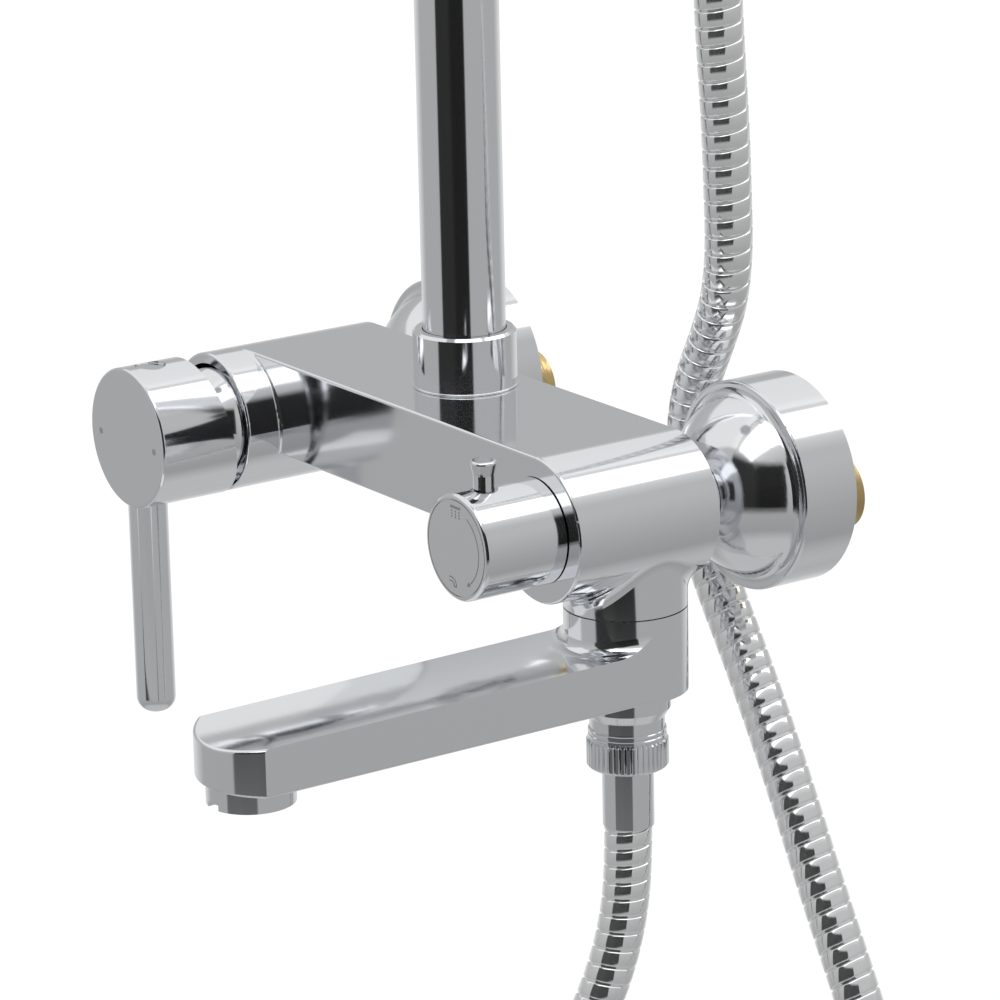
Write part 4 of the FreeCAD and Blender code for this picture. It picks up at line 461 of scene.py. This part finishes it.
# Operators
class SHOWER_OT_finishes(bpy.types.Operator):
    """Make the finishes and put them on the solid pieces."""
    bl_idname = "shower.finishes"
    bl_label = "Finishes"

    def execute(self, context):
        look = context.scene.shower_finish
        water = value_group("water_marks", (("Drops", 1.0), ("Streaks", 0.5), ("Waves", 1.0)),
                            build_water_marks)
        tools = value_group("tool_lines", (("Lines", 1.0), ("Grain", 0.5)), build_tool_lines)
        plated = (tuple(look.chrome), tuple(look.chrome_worn))
        finish_material("polished_chrome", water, {"Drops": 0.55, "Streaks": 0.35, "Waves": 0.5}, plated,
                        (look.polish, look.polish + DRIED_ROUGH), 1.0, 0.01)
        finish_material("hose_chrome", water, {"Drops": 0.3, "Streaks": 0.6, "Waves": 0.6}, plated,
                        (0.06, 0.18), 0.95, 0.04)
        for name, colour, worn, lines, grain, rough, metallic, bump in (
                ("turned_brass", look.brass, 0.7, 1.0, 0.4, (0.24, 0.42), 1.0, 0.25),
                ("plain_steel", look.steel, 0.75, 1.0, 0.3, (0.26, 0.4), 1.0, 0.2),
                ("seal_rubber", look.rubber, 2.0, 0.2, 1.0, (0.55, 0.8), 0.0, 0.3),
                ("white_plastic", look.white_plastic, 0.9, 0.2, 0.8, (0.38, 0.5), 0.0, 0.12),
                ("spray_plastic", look.spray_plastic, 0.82, 0.1, 1.0, (0.34, 0.5), 0.0, 0.2),
                ("mark_grey", look.mark, 1.4, 0.3, 0.6, (0.4, 0.6), 0.0, 0.1)):
            colours = (tuple(colour), shade(tuple(colour), worn))
            finish_material(name, tools, {"Lines": lines, "Grain": grain}, colours, rough, metallic, bump)
        for nodes, finish in ((CHROME_NODES, "polished_chrome"), (BRASS_NODES, "turned_brass"),
                              (RUBBER_NODES, "seal_rubber"), (WHITE_NODES, "white_plastic"),
                              (SPRAY_NODES, "spray_plastic"), (STEEL_NODES, "plain_steel")):
            for node in nodes:
                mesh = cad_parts[node].data
                mesh.materials.clear()
                mesh.materials.append(material(finish))
        return {"FINISHED"}


class SHOWER_OT_hose(bpy.types.Operator):
    """Build the interlocked metal hose along its route."""
    bl_idname = "shower.hose"
    bl_label = "Hose"

    def execute(self, context):
        look = context.scene.shower_hose_look
        line = route_line("hose_line", HOSE_ROUTE)
        along = np.concatenate([[0.0], np.cumsum(np.linalg.norm(np.diff(line, axis=0), axis=1))])
        length = along[-1]
        turns = round(length / look.pitch)
        pitch = length / turns
        starts = (np.arange(-1, turns)[:, None] + STRIP_SHARE[None, :]).ravel() * pitch
        angle = np.arange(look.around) * 2 * np.pi / look.around
        place = starts[:, None] + pitch * angle[None, :] / (2 * np.pi)
        radius = np.tile(look.radius - look.groove * (1.0 - STRIP_LIFT), turns + 1)[:, None]
        radius = np.where((place > 0.0) & (place < length), radius, look.radius)
        place = np.vstack([np.zeros_like(angle), np.clip(place, 0.0, length), np.full_like(angle, length)])
        radius = np.vstack([np.zeros_like(angle), radius, np.zeros_like(angle)])
        points = tube_points(line, along, place, angle, radius)
        mesh = mesh_from("hose_strip", points, wound_faces(len(place), look.around, len(STRIP_SHARE)))
        join_doubles(mesh)
        hose = new_piece("hose_strip", mesh, material("hose_chrome"), STRIP_CREASE)
        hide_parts("shower_hose")
        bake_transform(hose)
        return {"FINISHED"}


def route_line(name, route):
    """Points of a smooth spline whose control points are the route's."""
    curve = bpy.data.curves.new(name, "CURVE")
    curve.dimensions = "3D"
    curve.resolution_u = HOSE_LINE_STEPS
    spline = curve.splines.new("NURBS")
    spline.points.add(len(route) - 1)
    spline.points.foreach_set("co", np.column_stack([route, np.ones(len(route))]).ravel())
    spline.order_u = 3
    spline.use_endpoint_u = True
    holder = bpy.data.objects.new(name, curve)
    mesh = bpy.data.meshes.new_from_object(holder)
    line = np.empty(len(mesh.vertices) * 3)
    mesh.vertices.foreach_get("co", line)
    bpy.data.objects.remove(holder)
    bpy.data.curves.remove(curve)
    bpy.data.meshes.remove(mesh)
    return line.reshape(-1, 3)


def tube_points(line, along, place, angle, radius):
    """Points round a line at places along it: a fixed side, less its part along the line, and the
    cross product of both carry the cosine and the sine of the angle."""
    slope = np.gradient(line, along, axis=0)
    centre = np.stack([np.interp(place, along, line[:, axis]) for axis in range(3)], -1)
    ahead = np.stack([np.interp(place, along, slope[:, axis]) for axis in range(3)], -1)
    ahead = ahead / np.linalg.norm(ahead, axis=-1, keepdims=True)
    side = HOSE_SIDE - ahead * (ahead @ HOSE_SIDE)[..., None]
    side = side / np.linalg.norm(side, axis=-1, keepdims=True)
    other = np.cross(ahead, side)
    circle = side * np.cos(angle)[None, :, None] + other * np.sin(angle)[None, :, None]
    return centre + circle * radius[..., None]


def wound_faces(rows, columns, turn_rows):
    """Quads of a wound strip: the last column of a row joins the first column one turn on, and the
    first and the last row close the ends."""
    row = np.arange(rows)[:, None] * np.ones(columns, int)[None, :]
    column = np.arange(columns)[None, :] * np.ones(rows, int)[:, None]
    wrapped = column == columns - 1
    inner = (row > 0) & (row < rows - 1)
    later = np.where(wrapped & inner, np.minimum(row + turn_rows, rows - 2), row)
    here = row * columns + column
    beside = later * columns + (column + 1) % columns
    return np.stack([here[1:], beside[1:], beside[:-1], here[:-1]], -1).reshape(-1, 4)


def join_doubles(mesh):
    """Join points that lie on each other and drop the faces that this closes."""
    edit = bmesh.new()
    edit.from_mesh(mesh)
    bmesh.ops.remove_doubles(edit, verts=edit.verts, dist=SAME_POINT)
    edit.to_mesh(mesh)
    edit.free()


class SHOWER_OT_grips(bpy.types.Operator):
    """Cut the flutes of the hose nut and the lock knob."""
    bl_idname = "shower.grips"
    bl_label = "Grips"

    def execute(self, context):
        look = context.scene.shower_grip
        self.hose_nut(look)
        self.lock_knob(look)
        return {"FINISHED"}

    def hose_nut(self, look):
        """Turned nut with a band of two ring grooves and a fluted grip under it."""
        low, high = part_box("hose_nut_lower")
        top, foot = high.z, low.z
        outer = (high.x - low.x) / 2
        profile = np.array([
            (NUT_BORE, top), (outer - 0.9 * MM, top), (outer - 0.5 * MM, top - 0.4 * MM),
            (outer - 0.5 * MM, top - 1.1 * MM), (outer - 0.9 * MM, top - 1.5 * MM),
            (outer - 0.5 * MM, top - 1.9 * MM), (outer - 0.5 * MM, top - 2.6 * MM),
            (outer - 0.9 * MM, top - 3.0 * MM), (outer, top - 3.6 * MM), (outer, foot + 1.0 * MM),
            (outer - 0.5 * MM, foot + 0.4 * MM), (outer - 1.3 * MM, foot), (NUT_NECK, foot),
            (NUT_NECK, foot + NUT_WEB), (NUT_BORE, foot + NUT_WEB)])
        fluted = np.zeros(len(profile))
        fluted[8:11] = 1.0
        angles = np.linspace(0.0, 2 * np.pi, look.nut_flutes * POINTS_PER_NUT_FLUTE, endpoint=False)
        cut = -look.depth * flute(angles * look.nut_flutes)[:, None] * fluted[None, :]
        points = turned_grid(profile, angles, cut)
        centre = ((low.x + high.x) / 2, (low.y + high.y) / 2, 0.0)
        nut = new_piece("hose_nut_grip", turned_mesh("hose_nut_grip", points, centre, np.eye(3)),
                        material("polished_chrome"))
        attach(nut, "mixer")
        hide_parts("hose_nut_lower")

    def lock_knob(self, look):
        """Fluted knob with a rounded free end; its own height runs along -X."""
        low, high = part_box("slider_lock_knob")
        length = high.x - low.x
        outer = (high.z - low.z) / 2
        profile = np.array([
            (KNOB_SHANK, 0.0), (outer - 0.6 * MM, 0.0), (outer, 0.7 * MM), (outer, length - 2.2 * MM),
            (outer - 0.5 * MM, length - 0.9 * MM), (outer - 1.6 * MM, length - 0.15 * MM),
            (outer - 3.0 * MM, length), (KNOB_MIDDLE, length), (KNOB_MIDDLE, length / 2),
            (KNOB_SHANK, length / 2)])
        fluted = np.zeros(len(profile))
        fluted[2:5] = (1.0, 1.0, 0.7)
        angles = np.linspace(0.0, 2 * np.pi, look.knob_flutes * POINTS_PER_KNOB_FLUTE, endpoint=False)
        cut = -2 * look.depth * flute(angles * look.knob_flutes)[:, None] * fluted[None, :]
        points = turned_grid(profile, angles, cut)
        axes = ((0.0, 1.0, 0.0), (0.0, 0.0, -1.0), (-1.0, 0.0, 0.0))
        centre = (high.x, (low.y + high.y) / 2, (low.z + high.z) / 2)
        knob = new_piece("lock_knob_grip", turned_mesh("lock_knob_grip", points, centre, axes),
                         material("polished_chrome"))
        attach(knob, "slider_lock")
        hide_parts("slider_lock_knob")


def flute(turn):
    """Depth of a flute from 0 to 1: a sine's upper half, flattened, and zero between flutes."""
    return np.clip(np.sin(turn) * FLUTE_FLATTEN, 0.0, 1.0)


class SHOWER_OT_seams(bpy.types.Operator):
    """Lay the thin bead along the seam between the riser collar and the mixer."""
    bl_idname = "shower.seams"
    bl_label = "Seams"

    def execute(self, context):
        bead = context.scene.shower_grip.bead
        low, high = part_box("riser_collar")
        outer = (high.x - low.x) / 2
        turn = np.linspace(0.0, 2 * np.pi, BEAD_SECTION, endpoint=False)
        profile = np.stack([outer + bead * np.sin(turn), low.z + bead + bead * np.cos(turn)], -1)
        angles = np.linspace(0.0, 2 * np.pi, BEAD_AROUND, endpoint=False)
        centre = ((low.x + high.x) / 2, (low.y + high.y) / 2, 0.0)
        mesh = turned_mesh("collar_bead", turned_grid(profile, angles), centre, np.eye(3))
        piece = new_piece("collar_bead", mesh, material("polished_chrome"), ROUND_CREASE)
        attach(piece, "mixer")
        return {"FINISHED"}


class SHOWER_OT_threads(bpy.types.Operator):
    """Cut the threads that show behind the wall."""
    bl_idname = "shower.threads"
    bl_label = "Threads"

    def execute(self, context):
        for side in ("left", "right"):
            low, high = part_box("wall_union_" + side)
            centre = ((low.x + high.x) / 2, 0.0, -THREAD_DROP)
            self.thread("wall_thread_" + side, centre, THREAD_START, high.y - THREAD_SHORT)
        return {"FINISHED"}

    def thread(self, name, centre, start, stop):
        """A sleeve whose radius rises and falls with the height less the angle's share of a pitch."""
        angles = np.linspace(0.0, 2 * np.pi, THREAD_AROUND, endpoint=False)
        heights = np.linspace(start, stop, int((stop - start) / THREAD_PITCH * THREAD_POINTS))
        phase = heights[None, :] / THREAD_PITCH - angles[:, None] / (2 * np.pi)
        ridge = THREAD_DEPTH * np.abs(2.0 * (phase % 1.0) - 1.0)
        fade = np.clip(np.minimum(heights - start, stop - heights) / THREAD_PITCH, 0.0, 1.0)
        outer = THREAD_RADIUS + ridge * fade[None, :]
        inner = np.full((angles.size, 2), THREAD_RADIUS - THREAD_WALL)
        spread = np.concatenate([outer, inner], axis=1)
        lengths = np.concatenate([heights, [stop, start]])
        points = np.stack([spread * np.cos(angles)[:, None], np.broadcast_to(lengths, spread.shape),
                           spread * np.sin(angles)[:, None]], -1)
        faces = grid_faces(points.shape[0], points.shape[1], True, True)[:, ::-1]
        mesh = mesh_from(name, points + np.array(centre), faces)
        piece = new_piece(name, mesh, material("turned_brass"), ROUND_CREASE)
        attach(piece, "mixer")


class SHOWER_OT_marks(bpy.types.Operator):
    """Print the plain marks of the knob and the lever cap."""
    bl_idname = "shower.marks"
    bl_label = "Marks"

    def execute(self, context):
        self.knob_marks()
        self.cap_dots()
        return {"FINISHED"}

    def knob_marks(self):
        """Shower at the top, spout at the bottom and an arc with an arrowhead between them."""
        plate_low, plate_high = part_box("knob_face_plate")
        centre = ((plate_low.x + plate_high.x) / 2, plate_low.y, (plate_low.z + plate_high.z) / 2)
        arc = circle_arc((0.0, 0.0), ARC_REACH, 60.0, -56.0)
        bar = np.array([(-2.3, 11.3), (2.3, 11.3)])
        outlines = [stroke(bar, BAR_WIDTH), stroke(arc, LINE_WIDTH)]
        for height in (10.2, 9.4, 8.6):
            for across in (-1.7, 0.0, 1.7):
                outlines.append(disc((across, height), 0.28))
        end = math.radians(-64.0)
        tip = ARC_REACH * np.array((math.cos(end), math.sin(end)))
        outlines.append(np.array([arc[-1] * 0.93, arc[-1] * 1.07, tip])[::-1])
        for radius, start in ((2.3, (-3.6, -8.6)), (1.2, (-3.6, -9.7))):
            bend = circle_arc((-2.6, -10.9), radius, 90.0, 0.0)
            outlines.append(stroke(np.vstack([[start], bend]), LINE_WIDTH))
        outlines.append(stroke(np.array([(-1.5, -11.0), (-0.2, -11.0)]), LINE_WIDTH))
        self.print_marks("knob_marks", outlines, centre, "diverter")

    def cap_dots(self):
        """One dot for each side of the lever's turn."""
        low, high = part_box("lever_cap")
        centre = ((low.x + high.x) / 2, low.y, (low.z + high.z) / 2)
        dots = [disc((across, -0.8), 0.95) for across in (-15.0, 15.0)]
        self.print_marks("cap_dots", dots, centre, "lever")

    def print_marks(self, name, outlines, centre, body):
        """Thin prisms over the outlines, facing -Y, a few hundredths of a millimetre proud."""
        points, faces, count = [], [], 0
        for outline in outlines:
            size = len(outline)
            for height in (MARK_SINK, -MARK_PROUD):
                flat = np.column_stack([outline[:, 0], np.full(size, height), outline[:, 1]])
                points.append(flat * MM + np.array(centre))
            ring = np.arange(size)
            after = (ring + 1) % size
            sides = np.stack([ring, after, after + size, ring + size], -1) + count
            faces += sides.tolist() + [(ring[::-1] + count).tolist(), (ring + size + count).tolist()]
            count += 2 * size
        mesh = bpy.data.meshes.new(name)
        mesh.from_pydata(np.vstack(points).tolist(), [], faces)
        mesh.update()
        piece = new_piece(name, mesh, material("mark_grey"))
        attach(piece, body)


def circle_arc(centre, radius, start_deg, stop_deg):
    """Points of an arc, in millimetres."""
    angle = np.radians(np.linspace(start_deg, stop_deg, 25))
    return np.column_stack([centre[0] + radius * np.cos(angle), centre[1] + radius * np.sin(angle)])


def disc(centre, radius):
    """Outline of a dot."""
    return circle_arc(centre, radius, 0.0, 345.0)


def stroke(path, width):
    """Outline of a line with a width: its right side forwards, then its left side backwards."""
    ahead = np.gradient(path, axis=0)
    ahead = ahead / np.linalg.norm(ahead, axis=1, keepdims=True)
    left = np.column_stack([-ahead[:, 1], ahead[:, 0]]) * width / 2
    return np.vstack([path - left, (path + left)[::-1]])


# Where the studio's lights and its dark opening lie: turns from the camera and rolls about the
# depth axis in degrees, heights and spans as parts of a unit direction; a soft edge follows each
DARK_TURN = (-60.0, 17.0)
DARK_TURN_SOFT = 1.5
DARK_HEIGHT = (-0.31, 0.5)
DARK_HEIGHT_SOFT = 0.1
KEY_ROLL = (58.0, 88.0)
KEY_SOFT = 1.5
HALO_SOFT = 18.0
FILL_ROLL = (96.0, 150.0)
FILL_SOFT = 3.0
BOX_SPAN = (-0.75, 0.85)
BOX_SOFT = 0.04

# Heights, in parts of a unit direction, between which the ground turns to walls, the backdrop fades
# and the floor's glow sets in, and the share of the way back at which the backdrop starts and is full
WALL_RISE = (-0.75, 0.35)
BACKDROP_FADE = (-0.2, 0.2)
BACKDROP_TOP = -0.04
GLOW_RISE = (-0.7, -0.84)
BACKDROP_START = (-0.5, -0.85)
# Turns, in radians, between which the dark opening falls from twice its brightness to once
DARK_EASE = (-0.45, -0.30)

# Floor: half its width in metres, and its finish
FLOOR_REACH = 14.0
FLOOR_ROUGH = 0.9
FLOOR_SPECULAR = 0.1

# Camera: place in metres, and its right, up and back directions
CAMERA_PLACE = (1.12569, -0.81368, 0.38371)
CAMERA_RIGHT = (0.56787, 0.82283, -0.02174)
CAMERA_UP = (-0.21994, 0.17714, 0.95929)
CAMERA_BACK = (0.79319, -0.53997, 0.28157)
SENSOR_WIDTH = 36.0
FARTHEST = 60.0

# Light panel before the lever rod, in metres
PANEL_DISTANCE = 0.05
PANEL_SHIFT = -0.0337
PANEL_DROP = 0.03
PANEL_WIDTH = 0.0966
PANEL_HEIGHT = 0.08


class SHOWER_OT_stage(bpy.types.Operator):
    """Set the floor, the light and the camera."""
    bl_idname = "shower.stage"
    bl_label = "Studio"

    def execute(self, context):
        look = context.scene.shower_studio
        self.floor(look)
        self.panel(look)
        self.light(context.scene, look)
        self.camera(context.scene, look)
        return {"FINISHED"}

    def floor(self, look):
        """A wide pale floor under the lowest point of the object, left out of the reflections."""
        level = CAD_BOX[0][2] - look.floor_drop
        grid = FLOOR_REACH * np.array([(-1.0, -1.0), (1.0, -1.0), (1.0, 1.0), (-1.0, 1.0)])
        points = np.column_stack([grid, np.full(4, level)])
        mesh = mesh_from("floor", points, np.array([[0, 1, 2, 3]]))
        paint = bpy.data.materials.new("floor_paint")
        paint.use_nodes = True
        shader = paint.node_tree.nodes["Principled BSDF"]
        shader.inputs["Base Color"].default_value = look.floor
        shader.inputs["Roughness"].default_value = FLOOR_ROUGH
        shader.inputs["Specular IOR Level"].default_value = FLOOR_SPECULAR
        floor = new_piece("floor", mesh, paint)
        floor.visible_glossy = False

    def panel(self, look):
        """A small light panel in front of the lever rod, seen only in reflections, that lifts the
        dark opening round the camera off the rod."""
        low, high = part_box("lever_rod")
        rod = Vector(((low.x + high.x) / 2, (low.y + high.y) / 2, (low.z + high.z) / 2))
        right, back = Vector(CAMERA_RIGHT), Vector(CAMERA_BACK)
        drop = Vector((0.0, 0.0, PANEL_DROP))
        lamp = bpy.data.lights.new("rod_panel", "AREA")
        lamp.shape = "RECTANGLE"
        lamp.size = PANEL_WIDTH
        lamp.size_y = PANEL_HEIGHT
        lamp.energy = look.panel * math.pi * PANEL_WIDTH * PANEL_HEIGHT
        panel = bpy.data.objects.new("rod_panel", lamp)
        panel.location = rod + back * PANEL_DISTANCE + right * PANEL_SHIFT - drop
        panel.rotation_euler = back.to_track_quat("Z", "Y").to_euler()
        panel.visible_camera = False
        panel.visible_diffuse = False
        bpy.context.scene.collection.objects.link(panel)

    def light(self, scene, look):
        """Studio by direction: grey walls, a bright backdrop, two long softboxes above and a dark
        opening round the camera. Only reflections see it; everything else sees plain white."""
        scene.view_settings.view_transform = "Standard"
        world = bpy.data.worlds.new("studio")
        world.use_nodes = True
        scene.world = world
        tree = world.node_tree
        tree.nodes.clear()
        where = tree.nodes.new("ShaderNodeTexCoord").outputs["Generated"]
        level = Vector((CAMERA_BACK[0], CAMERA_BACK[1], 0.0)).normalized()
        towards = dot(tree, where, level)
        across = dot(tree, where, Vector((-level.y, level.x, 0.0)))
        sideways, inward, height = [dot(tree, where, Vector(axis)) for axis in np.eye(3)]
        turn = combine(tree, "ARCTAN2", across, towards)
        roll = combine(tree, "ARCTAN2", height, sideways)
        base = remap(tree, height, *WALL_RISE, look.ground, look.walls)
        behind = remap(tree, towards, *BACKDROP_START, 0.0, 1.0)
        fade = remap(tree, height, *BACKDROP_FADE, look.backdrop, BACKDROP_TOP)
        backdrop = combine(tree, "MULTIPLY", behind, fade)
        glow = remap(tree, height, *GLOW_RISE, 0.0, look.floor_glow)
        walls = combine(tree, "ADD", base, combine(tree, "ADD", backdrop, glow))
        opening = combine(tree, "MULTIPLY", band(tree, turn, DARK_TURN, DARK_TURN_SOFT),
                          band(tree, height, DARK_HEIGHT, DARK_HEIGHT_SOFT))
        dark = remap(tree, turn, *DARK_EASE, look.dark * 2, look.dark)
        closed = combine(tree, "SUBTRACT", 1.0, opening)
        lit = combine(tree, "ADD", combine(tree, "MULTIPLY", walls, closed),
                      combine(tree, "MULTIPLY", opening, dark))
        key = combine(tree, "MULTIPLY", band(tree, roll, KEY_ROLL, KEY_SOFT), look.softbox)
        halo = combine(tree, "MULTIPLY", band(tree, roll, KEY_ROLL, HALO_SOFT), look.halo)
        fill = combine(tree, "MULTIPLY", band(tree, roll, FILL_ROLL, FILL_SOFT), look.fill)
        lamps = combine(tree, "ADD", combine(tree, "ADD", key, halo), fill)
        boxes = combine(tree, "MULTIPLY", band(tree, inward, BOX_SPAN, BOX_SOFT), lamps)
        studio = combine(tree, "ADD", lit, boxes)
        path = tree.nodes.new("ShaderNodeLightPath")
        glossy = combine(tree, "MULTIPLY", studio, path.outputs["Is Glossy Ray"])
        plain = combine(tree, "SUBTRACT", 1.0, path.outputs["Is Glossy Ray"])
        strength = combine(tree, "ADD", glossy, combine(tree, "MULTIPLY", plain, look.white))
        shader = tree.nodes.new("ShaderNodeBackground")
        shader.inputs["Color"].default_value = (1.0, 1.0, 1.0, 1.0)
        tree.links.new(strength, shader.inputs["Strength"])
        output = tree.nodes.new("ShaderNodeOutputWorld")
        tree.links.new(shader.outputs["Background"], output.inputs["Surface"])

    def camera(self, scene, look):
        """A long lens to the right of the mixer and a little above it."""
        lens = bpy.data.cameras.new("camera")
        lens.lens = look.lens
        lens.sensor_width = SENSOR_WIDTH
        lens.clip_end = FARTHEST
        camera = bpy.data.objects.new("camera", lens)
        scene.collection.objects.link(camera)
        turn = Matrix((CAMERA_RIGHT, CAMERA_UP, CAMERA_BACK)).transposed().to_4x4()
        camera.matrix_world = Matrix.Translation(Vector(CAMERA_PLACE)) @ turn
        scene.camera = camera


def band(tree, value, limits, soft):
    """One between two limits, with soft edges outside them; limits beyond one are degrees."""
    if max(abs(limits[0]), abs(limits[1])) > 1.0:
        value = combine(tree, "DEGREES", value, 0.0)
    rise = remap(tree, value, limits[0] - soft, limits[0], 0.0, 1.0)
    fall = remap(tree, value, limits[1], limits[1] + soft, 1.0, 0.0)
    return combine(tree, "MULTIPLY", rise, fall)


def dot(tree, vector, direction):
    """The part of a vector along a direction."""
    node = tree.nodes.new("ShaderNodeVectorMath")
    node.operation = "DOT_PRODUCT"
    tree.links.new(vector, node.inputs[0])
    node.inputs[1].default_value = direction
    return node.outputs["Value"]


class SHOWER_PT_panel(bpy.types.Panel):
    """Sidebar list of the looks and the steps."""
    bl_idname = "SHOWER_PT_panel"
    bl_label = "Shower system"
    bl_space_type = "VIEW_3D"
    bl_region_type = "UI"
    bl_category = "Shower"

    def draw(self, context):
        for name, group in LOOKS:
            box = self.layout.box()
            for prop in group.__annotations__:
                box.prop(getattr(context.scene, name), prop)
        for operator in OPERATORS:
            self.layout.operator(operator.bl_idname)


OPERATORS = (SHOWER_OT_finishes, SHOWER_OT_grips, SHOWER_OT_hose, SHOWER_OT_seams, SHOWER_OT_threads,
             SHOWER_OT_marks, SHOWER_OT_stage)


def register():
    """Add the classes and the look settings."""
    for name, group in LOOKS:
        bpy.utils.register_class(group)
        setattr(bpy.types.Scene, name, PointerProperty(type=group))
    for item in OPERATORS + (SHOWER_PT_panel,):
        bpy.utils.register_class(item)


def unregister():
    """Take the classes and the look settings away."""
    for item in reversed(OPERATORS + (SHOWER_PT_panel,)):
        bpy.utils.unregister_class(item)
    for name, group in reversed(LOOKS):
        delattr(bpy.types.Scene, name)
        bpy.utils.unregister_class(group)


def main():
    """Run each step."""
    register()
    bpy.ops.shower.finishes()
    bpy.ops.shower.grips()
    bpy.ops.shower.hose()
    bpy.ops.shower.seams()
    bpy.ops.shower.threads()
    bpy.ops.shower.marks()
    bpy.ops.shower.stage()


if __name__ == "__main__":
    main()
